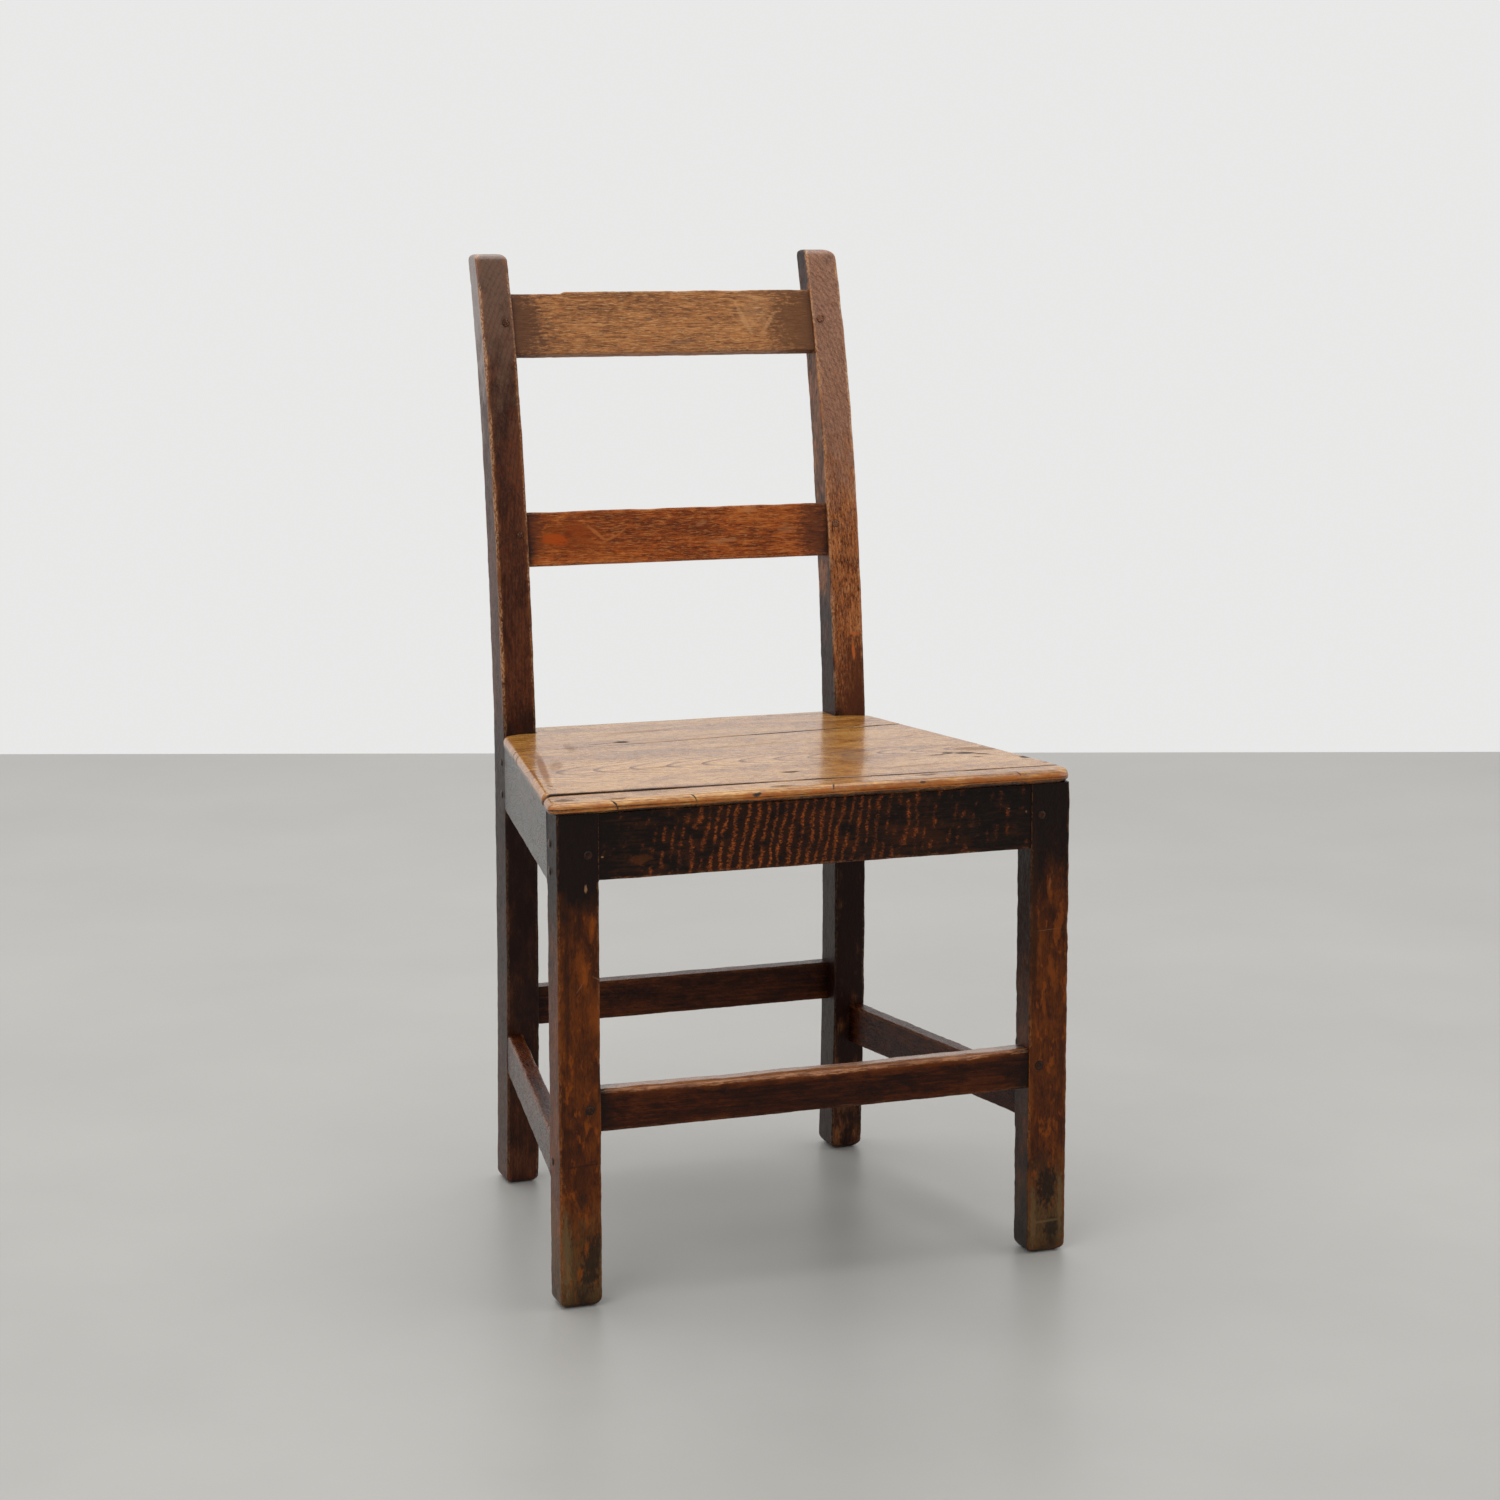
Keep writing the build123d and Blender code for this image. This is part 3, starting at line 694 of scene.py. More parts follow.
@dataclass(frozen=True)
class Oak:
    """An old oak surface, darkened by age, rubbed bright on its arrises and waxed.

    The layers lie over each other in this order: mottling, a pale film where figure is set
    (worn, and on the posts and the front stretcher partly a painted sheen and highlight),
    growth rings, pores, pale flecks, ray stripes, fine cross hatching, a warm halo beside the
    arrises, old dirt and painted shade, the rubbed line of the arrises themselves, and marks,
    one of which is a painted reflection. A depth, or the value named after a layer, is how
    strongly it shows; a low, start or cover is the noise value at which it begins.
    """

    name: str
    dark: Colour
    middle: Colour
    light: Colour
    rub: Colour
    halo: Colour
    # dirt: the colour of old dirt, also laid as painted shade
    dirt: Colour = (0.007, 0.0040, 0.0030)
    # pale: the colour of a worn film, on the posts and the front stretcher partly a painted sheen and
    # highlight
    pale: Colour = (0.10, 0.05, 0.03)
    pale_depth: float = 0.0
    patch_size: float = 45 * MM
    patch_long: float = 0.3
    patch_warp: float = 0.6
    mottle: float = 0.35
    streak: float = 0.25
    patch_low: float = 0.41
    patch_high: float = 0.60
    ring_gap: float = 3.2 * MM
    ring_depth: float = 0.35
    ring_warp: float = 2.0
    ring_start: float = 0.45
    pore_depth: float = 0.6
    pore_size: float = 1.0 * MM
    pore_long: float = 0.15
    pore_cover: float = 0.50
    film_coat: float = 0.0
    fleck: float = 0.0
    fleck_size: float = 1.4 * MM
    fleck_long: float = 0.2
    fleck_start: float = 0.52
    fleck_colour: Colour = (0.5, 0.3, 0.16)
    stripe: float = 0.0
    stripe_colour: Colour = (0.15, 0.046, 0.016)
    stripe_gap: float = 9.5 * MM
    stripe_slant: float = -0.22
    hatch: float = 0.0
    hatch_turn: float = 0.0
    rub_width: float = 1.0 * MM
    rub_depth: float = 0.9
    rub_long: float = 0.45
    rub_grain: float = 1.4 * MM
    halo_width: float = 5.0 * MM
    halo_depth: float = 0.6
    roughness: float = 0.38
    specular: float = 0.22
    coat: float = 0.0
    coat_roughness: float = 0.2
    relief: float = 0.6
    marks: tuple[Mark, ...] = ()
    plane: Plane = Plane.UPRIGHT

    def mottled(self, g: Timber) -> Signal:
        """Sums broad, small and fibre-long noises, by mottle and streak, for the ground colour.

        Args:
            g: the graph.
        Returns:
            The colour.
        """
        broad = g.fibrous(self.patch_long, self.patch_size, 4, 0.6, self.patch_warp)
        small = g.fibrous(0.40, self.patch_size / 4, 5, 0.7, 1.0)
        fibre = g.fibrous(0.05, 2.4 * MM, 3, 0.65)
        tone = broad * (1 - self.mottle - self.streak) + small * self.mottle + fibre * self.streak
        return g.ramp(g.band(tone, self.patch_low, self.patch_high),
                      ((0.0, self.dark), (0.5, self.middle), (1.0, self.light)))

    def stripes(self, g: Timber) -> Signal:
        """Ray figure: wavering bars across the grain, torn by its fibres, where figure is set.

        A bar is where sin(2 pi * place / gap) is high, and place is the distance along the
        grain, leaned by the distance across it and swayed by noise. Each bar is a faint haze
        with bright cores, and broad patches hide some of the bars.

        Args:
            g: the graph.
        Returns:
            How much of the bars shows.
        """
        _, across, along = g.parts(g.grain)
        sway = g.fibrous(1, 38 * MM, 2, across=0.6) * (22 * MM)
        slip = g.fibrous(0.08, 4 * MM, 2) * (3.5 * MM)
        place = along - across * self.stripe_slant + (sway + slip)
        wave = g.math("SINE", place * (2 * math.pi / self.stripe_gap))
        torn = g.fibrous(0.6, 1.5 * MM, 3, 0.75) - 0.5
        bars = g.band(wave + torn * 6.5, 0.0, 1.7)
        patchy = (g.noise(g.grain, 15 * MM, 4, 0.65) - 0.5) * 4.0
        shown = g.band(g.figure + patchy, 0.20, 1.15, self.stripe)
        core = g.band(g.fibrous(0.5, 1.1 * MM, 2, 0.7), 0.44, 0.60, 0.55)
        haze, veil = 0.40, 0.045
        return shown * (bars * (core + haze) + veil)

    def halo_cover(self, g: Timber) -> Signal:
        """How far an arris warms the wood beside it, with a ragged reach.

        Args:
            g: the graph.
        Returns:
            The cover, from 0 to 1.
        """
        ragged = (g.fibrous(0.4, 8 * MM, 4, 0.7) - 0.45) * (16 * MM)
        near = 1.0 - g.band(g.edge + ragged, 0.0, self.halo_width)
        return near * (g.wear * self.halo_depth)

    def rub_cover(self, g: Timber) -> Signal:
        """How much of the bright rubbed line of an arris shows, ragged, dotted and with gaps.

        Args:
            g: the graph.
        Returns:
            The cover, from 0 to 1.
        """
        ragged = (g.fibrous(0.35, 3.5 * MM, 4, 0.75) - 0.5) * (3.5 * MM)
        near = 1.0 - g.band(g.edge + ragged, 0.3 * self.rub_width, self.rub_width)
        dotted = g.band(g.fibrous(self.rub_long, self.rub_grain, 3, 0.65), 0.42, 0.58)
        stretch = g.band(g.fibrous(0.5, 22 * MM, 3), 0.34, 0.56)
        return near * (dotted * stretch) * (g.wear * self.rub_depth)

    def hatched(self, g: Timber, colour: Signal) -> Signal:
        """Lays fine dark rays that cross the grain at an angle, where figure is set.

        Args:
            g: the graph.
            colour: the colour so far.
        Returns:
            The colour with its rays.
        """
        turned = g.tap("Mapping", {"Vector": g.grain,
                                   "Rotation": (0.0, math.radians(self.hatch_turn), 0.0)})
        rays = g.noise(g.scaled(turned, (1, 0.3, 0.14)), 1.0 * MM, 2, 0.5)
        shown = g.math("MULTIPLY", g.band(rays, 0.46, 0.62, self.hatch), g.figure, clamp=True)
        return g.mix(shown, colour, RAY_TINT, "MULTIPLY")

    def marked(self, g: Timber, colour: Signal) -> tuple[Signal, Value]:
        """Lays the marks over the colour, one tint at a time.

        Args:
            g: the graph.
            colour: the colour so far.
        Returns:
            The colour with its marks, and how far any mark covers.
        """
        every: Value = 0.0
        parts = g.parts(g.tap("TexCoord", output="Object"))
        place = g.tap("CombineXYZ", {slot: parts[axis] for slot, axis in enumerate(self.plane.value)})
        rough = g.fibrous(0.45, 3.0 * MM, 3, 0.7) - 0.5
        for tint in dict.fromkeys(mark.colour for mark in self.marks):
            cover: Value = 0.0
            for mark in (mark for mark in self.marks if mark.colour == tint):
                cover = g.math("MAXIMUM", cover, mark.cover(g, place, rough))
            colour = g.mix(cover, colour, tint)
            every = g.math("MAXIMUM", every, cover)
        return colour, every

    def build(self) -> bpy.types.Material:
        """Lays the layers over each other, and sets the gloss and the relief.

        Returns:
            The finish as a material.
        """
        g = Timber(self.name)
        colour = self.mottled(g)
        film: Value = 0.0
        # the pale film: worn, and on the posts and the front stretcher partly a painted sheen and highlight
        if self.pale_depth:
            film = g.band(g.figure + (g.fibrous(0.5, 12 * MM, 6, 0.75) - 0.5) * 2.4, 0.0, 1.1)
            colour = g.mix(film * self.pale_depth, colour, self.pale)
        ring = g.band(g.rings(self.ring_gap, self.ring_warp), self.ring_start, 0.97)
        colour = g.mix(ring * self.ring_depth, colour, RING_TINT, "MULTIPLY")
        coarse = g.fibrous(self.pore_long, self.pore_size, 2, 0.6)
        pore = g.band(coarse, self.pore_cover, self.pore_cover + 0.12)
        if self.hatch:
            pore = pore * (1.0 - film * 0.55)
        colour = g.mix(pore * self.pore_depth, colour, PORE_TINT, "MULTIPLY")
        fine = g.fibrous(0.07, 0.35 * MM, 2, 0.6)
        colour = g.mix(g.band(fine, 0.45, 0.7, self.pore_depth * 0.6), colour, FIBRE_TINT, "MULTIPLY")
        if self.fleck:
            dash = g.fibrous(self.fleck_long, self.fleck_size, 3, 0.65, across=1.3)
            shown = g.band(dash, self.fleck_start, self.fleck_start + 0.12, self.fleck)
            colour = g.mix(shown, colour, self.fleck_colour)
        if self.stripe:
            colour = g.mix(self.stripes(g), colour, self.stripe_colour)
        if self.hatch:
            colour = self.hatched(g, colour)
        halo = self.halo_cover(g)
        colour = g.mix(halo, colour, self.halo)
        # old dirt, and painted shade under the seat, on faces turned away and round the pegs
        soil_and_shade = (g.fibrous(0.5, 18 * MM, 5, 0.68) - 0.5) * 1.3
        colour = g.mix(g.band(g.grime_and_shade + soil_and_shade, 0.22, 0.85), colour, self.dirt)
        colour = g.mix(self.rub_cover(g), colour, self.rub)
        scarred: Value = 0.0
        if self.marks:
            colour, scarred = self.marked(g, colour)
        sheen = g.fibrous(0.4, 9 * MM, 4, 0.7) * 0.2 + (self.roughness - 0.1)
        dull = pore * 0.12 + scarred * 0.4
        waves = g.bump(g.fibrous(0.4, 16 * MM, 2), 1.2 * MM, self.relief * 0.4)
        gloss: Feeds = {"Specular IOR Level": self.specular, "Coat Roughness": self.coat_roughness}
        if self.film_coat:
            gloss["Coat Weight"] = film * self.film_coat
        elif self.coat:
            sound = 1.0 - g.math("MAXIMUM", scarred, ring * 0.7)
            gloss["Coat Weight"] = sound * (1.0 - halo * 0.7) * self.coat
        g.feed(g.shader, {
            "Base Color": colour, "Roughness": g.math("ADD", sheen, dull, clamp=True),
            "Normal": g.bump(fine * 0.5 - pore * 0.8, 0.25 * MM, self.relief, Normal=waves), **gloss})
        return g.material


RING_TINT = (0.3, 0.2, 0.15)
PORE_TINT = (0.24, 0.16, 0.12)
FIBRE_TINT = (0.5, 0.4, 0.33)
RAY_TINT = (0.34, 0.25, 0.22)
OPEN = (0.016, 0.008, 0.006)
SCRATCH = (0.3, 0.15, 0.07)
GLOW = (0.27, 0.06, 0.003)
BARK = (0.026, 0.0075, 0.0022)
SOOT = (0.014, 0.0085, 0.005)
SCUFF = (0.17, 0.105, 0.045)
INK = (0.075, 0.032, 0.016)
# the colour of a painted reflection of the left back post in the seat
POST_REFLECTION = (0.15, 0.045, 0.01)
RAY_PALE = (0.64, 0.34, 0.14)
RAY_WARM = (0.48, 0.2, 0.075)
FRAYED = 0.6

LEG_OAK = Oak(
    "leg_oak", dark=(0.043, 0.0089, 0.001), middle=(0.112, 0.0238, 0.0011), light=(0.186, 0.0424, 0.0015),
    rub=(0.25, 0.085, 0.02), halo=(0.165, 0.042, 0.003), dirt=(0.009, 0.0026, 0.0012), patch_size=34 * MM,
    patch_long=0.6, patch_warp=0.8, patch_low=0.36, patch_high=0.66, streak=0.12,
    pale=(0.105, 0.058, 0.019), pale_depth=0.85, ring_depth=0.12, pore_depth=0.4, pore_size=0.8 * MM,
    fleck=0.75, fleck_size=9 * MM, fleck_long=0.5, fleck_start=0.55, fleck_colour=(0.25, 0.056, 0.002),
    rub_width=0.6 * MM, halo_width=2.4 * MM, specular=0.19, roughness=0.32,
    marks=(
        *marks(SCRATCH, FRAYED, (-215.7, 372.8, 8, 3, 90, 0.9), (220.5, 303.2, 36, 0.9, 3, 0.35),
               (-206, 293, 14, 1.2, 150, 0.4), (-222, 286, 16, 1.2, 55, 0.35), (222, 345, 12, 2.2, 85, 0.4)),
        *marks(GLOW, 1.0, (-219, 300, 44, 14, 100, 0.4), (231, 306, 44, 11, 78, 0.55)),
        *marks(GLOW, 0.9, (222, 342, 26, 6, 95, 0.5)),
        *marks(GLOW, FRAYED, (-207, 262, 46, 16, 90, 0.4), (226, 262, 34, 9, 100, 0.55),
               (218, 232, 20, 5, 95, 0.5), (-211, 338, 30, 5, 88, 0.55)),
        *marks(BARK, FRAYED, (207, 310, 210, 11, 90, 0.75), (-233.5, 290, 190, 6, 90, 0.65),
               (-203, 205, 60, 7, 85, 0.6), (-220, 128, 44, 2.5, 2, 0.6), (236, 180, 60, 6, 92, 0.5)),
        *marks(SOOT, 1.0, (222, 62, 46, 24, 90, 0.9), (228, 24, 22, 18, 90, 0.8),
               (218, 84, 40, 22, 90, 0.55), (-213, 40, 66, 20, 80, 0.8), (-222, 96, 22, 12, 90, 0.5)),
        *marks(SCUFF, 1.1, (-236, 52, 100, 9, 90, 0.55), (-203, 34, 60, 6, 90, 0.7),
               (209, 36, 66, 6, 90, 0.45), (236, 50, 70, 6, 90, 0.5)),
        *marks(SCUFF, 1.0, (222, 30, 40, 3, 2, 0.5)),
    ),
)
# pale: a film up the post, worn and partly a painted sheen
LEFT_POST_OAK = Oak(
    "left_post_oak", dark=(0.036, 0.0082, 0.0027), middle=(0.072, 0.0172, 0.005),
    light=(0.118, 0.031, 0.0095), rub=(0.52, 0.28, 0.14), halo=(0.21, 0.066, 0.016),
    dirt=(0.015, 0.003, 0.0011), pale=(0.15, 0.064, 0.026), pale_depth=0.8, film_coat=0.9,
    coat_roughness=0.22, patch_size=50 * MM, patch_long=0.35, pore_depth=0.42, fleck=0.14,
    fleck_size=1.1 * MM, fleck_colour=(0.28, 0.13, 0.06), hatch=0.24, hatch_turn=-50, rub_width=1.6 * MM,
    halo_width=4.5 * MM, halo_depth=0.75, roughness=0.34,
)
# pale: a film up the post, worn and partly a painted sheen
RIGHT_POST_OAK = Oak(
    "right_post_oak", dark=(0.21, 0.058, 0.014), middle=(0.415, 0.138, 0.0385), light=(0.54, 0.228, 0.08),
    rub=(0.66, 0.38, 0.2), halo=(0.42, 0.16, 0.05), dirt=(0.017, 0.0036, 0.0013),
    pale=(0.335, 0.171, 0.113), pale_depth=0.85, film_coat=0.6, coat_roughness=0.32, patch_size=50 * MM,
    patch_long=0.35, pore_depth=0.85, pore_size=1.2 * MM, pore_long=0.16, fleck=0.4,
    fleck_colour=(0.6, 0.3, 0.14), hatch=0.48, hatch_turn=55, rub_width=1.5 * MM, halo_width=2.5 * MM,
    specular=0.18, roughness=0.36,
    marks=(*marks((0.085, 0.022, 0.007), 0.9, (184, 470, 124, 54, 90, 0.82)),
           *marks((0.48, 0.12, 0.025), FRAYED, (176.5, 514, 22, 4, 93, 0.9), (178, 531, 4, 12, 80, 0.8))),
)
FRONT_RAIL_OAK = Oak(
    "front_rail_oak", dark=(0.006, 0.0026, 0.0016), middle=(0.0085, 0.0034, 0.0018),
    light=(0.036, 0.01, 0.0028), rub=(0.26, 0.095, 0.032), halo=(0.04, 0.012, 0.003),
    dirt=(0.008, 0.0028, 0.0014), stripe=0.88, stripe_colour=(0.475, 0.102, 0.012), stripe_slant=0.2,
    stripe_gap=9.0 * MM, pore_depth=0.4, rub_width=0.9 * MM, halo_width=2.5 * MM, specular=0.18,
    marks=(*marks(SCRATCH, FRAYED, (-200.4, 399.5, 3, 2, 0, 0.9), (181.5, 417.3, 3.5, 1.6, 0, 0.5),
                  (198.5, 413.4, 1.6, 3, 0, 0.5)),
           *marks((0.075, 0.02, 0.004), FRAYED, (-166, 395, 26, 9, 8, 0.8))),
)
RAIL_OAK = Oak(
    "rail_oak", dark=(0.012, 0.006, 0.004), middle=(0.026, 0.012, 0.0075), light=(0.055, 0.026, 0.016),
    rub=(0.22, 0.1, 0.045), halo=(0.06, 0.024, 0.011), roughness=0.24, specular=0.5,
)
STRETCHER_OAK = Oak(
    "stretcher_oak", dark=(0.022, 0.0042, 0.001), middle=(0.052, 0.0098, 0.0014),
    light=(0.095, 0.02, 0.0024), rub=(0.5, 0.215, 0.082), halo=(0.15, 0.034, 0.005),
    dirt=(0.009, 0.0026, 0.0012), rub_width=1.6 * MM, rub_long=0.12, rub_grain=1.1 * MM, rub_depth=0.85,
    halo_width=8.0 * MM, halo_depth=0.75, specular=0.16, roughness=0.26,
)
# a lighter copy of the stretcher oak: painted light on a member that lies in shade
BACK_STRETCHER_LIT_OAK = replace(
    STRETCHER_OAK, name="back_stretcher_oak", dark=(0.028, 0.0058, 0.0015), middle=(0.066, 0.0134, 0.0024),
    light=(0.12, 0.027, 0.004), specular=0.2,
)
# the front stretcher's pale film on its top is worn, and partly a painted highlight
FRONT_STRETCHER_OAK = replace(
    STRETCHER_OAK, name="front_stretcher_oak", pale=(0.6, 0.26, 0.105), pale_depth=0.9, film_coat=0.9,
    coat_roughness=0.25,
)
TOP_RAIL_OAK = Oak(
    "top_rail_oak", dark=(0.23, 0.08, 0.018), middle=(0.43, 0.16, 0.04), light=(0.56, 0.24, 0.075),
    rub=(0.52, 0.28, 0.13), halo=(0.34, 0.16, 0.07), dirt=(0.055, 0.025, 0.016), patch_long=0.15, fleck=0.6,
    fleck_size=1.1 * MM, fleck_long=0.14, fleck_colour=(0.68, 0.38, 0.15), ring_depth=0.25, pore_depth=0.65,
    pore_long=0.1, halo_width=2 * MM, halo_depth=0.3, roughness=0.45, specular=0.4,
    marks=(
        *marks(RAY_PALE, FRAYED, (111.6, 843, 44, 6, 52, 0.4), (83, 843, 42, 6, 114, 0.35),
               (100, 864, 50, 5, -10, 0.35)),
        *marks((0.6, 0.32, 0.14), FRAYED, (97, 848, 44, 40, 0, 0.22)),
        *marks((0.13, 0.07, 0.045), FRAYED, (-16.5, 844.5, 9, 5, 0, 0.6), (15.4, 821.5, 42, 5, 0, 0.5)),
        *marks((0.14, 0.054, 0.02), 0.9, (143, 838, 84, 96, 0, 0.88)),
        *marks((0.105, 0.04, 0.017), 0.9, (-150, 838, 68, 96, 0, 0.9)),
    ),
)
MIDDLE_RAIL_OAK = replace(
    TOP_RAIL_OAK, name="middle_rail_oak", dark=(0.19, 0.037, 0.0055), middle=(0.415, 0.093, 0.0115),
    light=(0.54, 0.165, 0.031), rub=(0.5, 0.22, 0.09), halo=(0.3, 0.105, 0.036), dirt=(0.034, 0.012, 0.007),
    fleck=0.5, fleck_colour=(0.6, 0.26, 0.08), halo_depth=0.4, roughness=0.4, specular=0.2,
    marks=(
        *marks((0.19, 0.034, 0.002), 0.9, (-112, 636, 84, 40, -8, 0.65)),
        *marks((0.44, 0.068, 0.003), 0.8, (-127, 634.7, 30, 13, -8, 0.75)),
        *marks((0.34, 0.058, 0.004), FRAYED, (-100, 641, 34, 22, -20, 0.35)),
        *marks((0.5, 0.16, 0.04), FRAYED, (-86, 640, 36, 4, -40, 0.6), (-70, 634, 30, 3, 25, 0.55)),
        *marks(RAY_WARM, FRAYED, (44, 627.5, 34, 6, 5, 0.45), (74.3, 657.4, 18, 8, 10, 0.5),
               (23, 645.4, 14, 8, 20, 0.4), (112, 636, 24, 9, 0, 0.3)),
        *marks((0.075, 0.022, 0.01), 0.9, (140, 636, 36, 84, 0, 0.7)),
        *marks((0.09, 0.022, 0.009), 0.9, (-152, 650, 40, 24, 0, 0.6)),
    ),
)
PEG_OAK = Oak(
    "peg_oak", dark=(0.02, 0.006, 0.0022), middle=(0.046, 0.014, 0.004), light=(0.08, 0.026, 0.008),
    rub=(0.3, 0.15, 0.07), halo=(0.1, 0.04, 0.018), patch_size=6 * MM, ring_gap=1.4 * MM, ring_depth=0.3,
    rub_depth=0.0, halo_depth=0.0, roughness=0.24, relief=0.3,
)
POST_PEG_OAK = replace(
    RIGHT_POST_OAK, name="post_peg_oak", marks=(), pale_depth=0.0, halo_depth=0.0, rub_depth=0.0, hatch=0.0,
    film_coat=0.0, dark=(0.11, 0.04, 0.018), middle=(0.21, 0.085, 0.04), light=(0.28, 0.12, 0.06),
    dirt=(0.04, 0.016, 0.008),
)
LEFT_POST_PEG_OAK = replace(
    POST_PEG_OAK, name="left_post_peg_oak", dark=(0.03, 0.0075, 0.0035), middle=(0.062, 0.0165, 0.0065),
    light=(0.1, 0.03, 0.012), dirt=(0.028, 0.009, 0.004),
)
SEAT_OAK = Oak(
    "seat_oak", dark=(0.278, 0.1, 0.0145), middle=(0.525, 0.229, 0.04), light=(0.69, 0.368, 0.1),
    rub=(0.5, 0.18, 0.03), halo=(0.33, 0.08, 0.003), dirt=(0.026, 0.01, 0.005), patch_size=38 * MM,
    patch_long=0.2, mottle=0.3, streak=0.32, ring_gap=4.5 * MM, ring_depth=1.0, ring_start=0.72,
    pore_depth=0.55, stripe=0.4, stripe_colour=(0.62, 0.34, 0.13), stripe_gap=12 * MM, fleck=0.25,
    fleck_colour=(0.6, 0.33, 0.13), roughness=0.24, specular=0.35, coat=0.38, coat_roughness=0.12,
    relief=0.3, plane=Plane.LEVEL, rub_width=2.0 * MM, halo_depth=0.9, rub_depth=0.35,
    marks=(
        *marks(OPEN, 0.3, (172, -117, 14, 13, -10, 1.0), (187, -123, 26, 13, -14, 1.0),
               (-94, 47, 18, 13, 4, 1.0), (125, 52.4, 260, 5.0, 4.7, 0.75), (230, -162, 12, 16, 0, 0.95)),
        *marks(OPEN, 0.4, (200, -133, 22, 7, -38, 0.95), (158, -124, 26, 6, 8, 0.8),
               (-0.8, -163, 22, 11, 4, 0.9), (240, -195, 16, 9, 0, 0.9)),
        *marks(OPEN, FRAYED, (189, -147, 14, 6, -30, 0.8), (-112, 44, 70, 3.5, 6, 0.7),
               (222, -37, 7, 14, 0, 0.8), (40, -224, 10, 5, 4, 0.7), (-224, -158, 2.4, 14, 12, 0.8),
               (-229, -170, 2.4, 12, 8, 0.7), (-212, 30, 30, 4, -4, 1.0), (-215, 4, 30, 4, 14, 1.0),
               (-218, 14, 18, 3, -40, 0.9), (-118, -236, 2, 12, 30, 1.0), (-190, -237, 2, 12, 40, 1.0),
               (-60, -238, 10, 2.6, 5, 1.0), (12, -236, 2, 9, -20, 0.9), (96, -238, 9, 2.4, 0, 0.9),
               (190, -235, 2, 10, 25, 0.9)),
        *marks(INK, FRAYED, (205, -104, 50, 24, -20, 0.5), (-190, -60, 60, 14, 70, 0.35),
               (-150, 30, 60, 12, 80, 0.3), (-230, -221, 22, 16, 0, 0.75), (-185, -229, 26, 9, 0, 0.8),
               (84, -96, 40, 90, -18, 0.45), (-60, 100, 90, 16, 6, 0.3), (-120, -100, 120, 10, 4, 0.3),
               (20, -10, 120, 9, 6, 0.3), (120, -170, 90, 7, 5, 0.35), (-33, -227, 26, 12, 3, 0.75),
               (110, -218, 26, 11, 3, 0.75), (-196, -8, 8, 40, 10, 0.5)),
        # painted reflection of the left back post's edge in the polished seat
        *marks(POST_REFLECTION, 0.5, (-206.5, -75, 206, 9, 77.4, 0.65)),
    ),
)
SEAT_PEG_OAK = replace(
    SEAT_OAK, name="seat_peg_oak", middle=(0.3, 0.14, 0.05), patch_size=8 * MM, ring_gap=1.6 * MM,
    halo_depth=0.0, rub_depth=0.0, dirt=(0.06, 0.027, 0.016),
)


@dataclass
class Workshop:
    """Turns skins into pieces of the chair, and keeps one material for each finish."""

    materials: dict[str, bpy.types.Material] = field(default_factory=dict)
    count: int = 0

    def material(self, finish: Oak) -> bpy.types.Material:
        """Gives a finish's material, and builds it when it is first asked for.

        Args:
            finish: the finish.
        Returns:
            Its material.
        """
        if finish.name not in self.materials:
            self.materials[finish.name] = finish.build()
        return self.materials[finish.name]

    def place(self, node: str, skin: Skin, finish: Oak, slot: str = "oak_frame",
              crease: float = 0.7) -> bpy.types.Object:
        """Makes the piece that stands for a CAD node.

        Args:
            node: the CAD node it replaces.
            skin: its surface, in place.
            finish: its finish.
            slot: not used.
            crease: angle in radians above which an edge stays sharp.
        Returns:
            The new object.
        """
        name = f"{node}_wood"
        piece = bpy.data.objects.new(name, skin.mesh(name, crease))
        bpy.context.scene.collection.objects.link(piece)
        piece.data.materials.append(self.material(finish))
        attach(piece, BODY)
        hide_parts(node)
        self.count += 1
        low, high = skin.points.min(0), skin.points.max(0)
        LOG.info("%s: %d vertices, %s mm", name, len(skin.points), np.round((high - low) / MM, 1))
        return piece


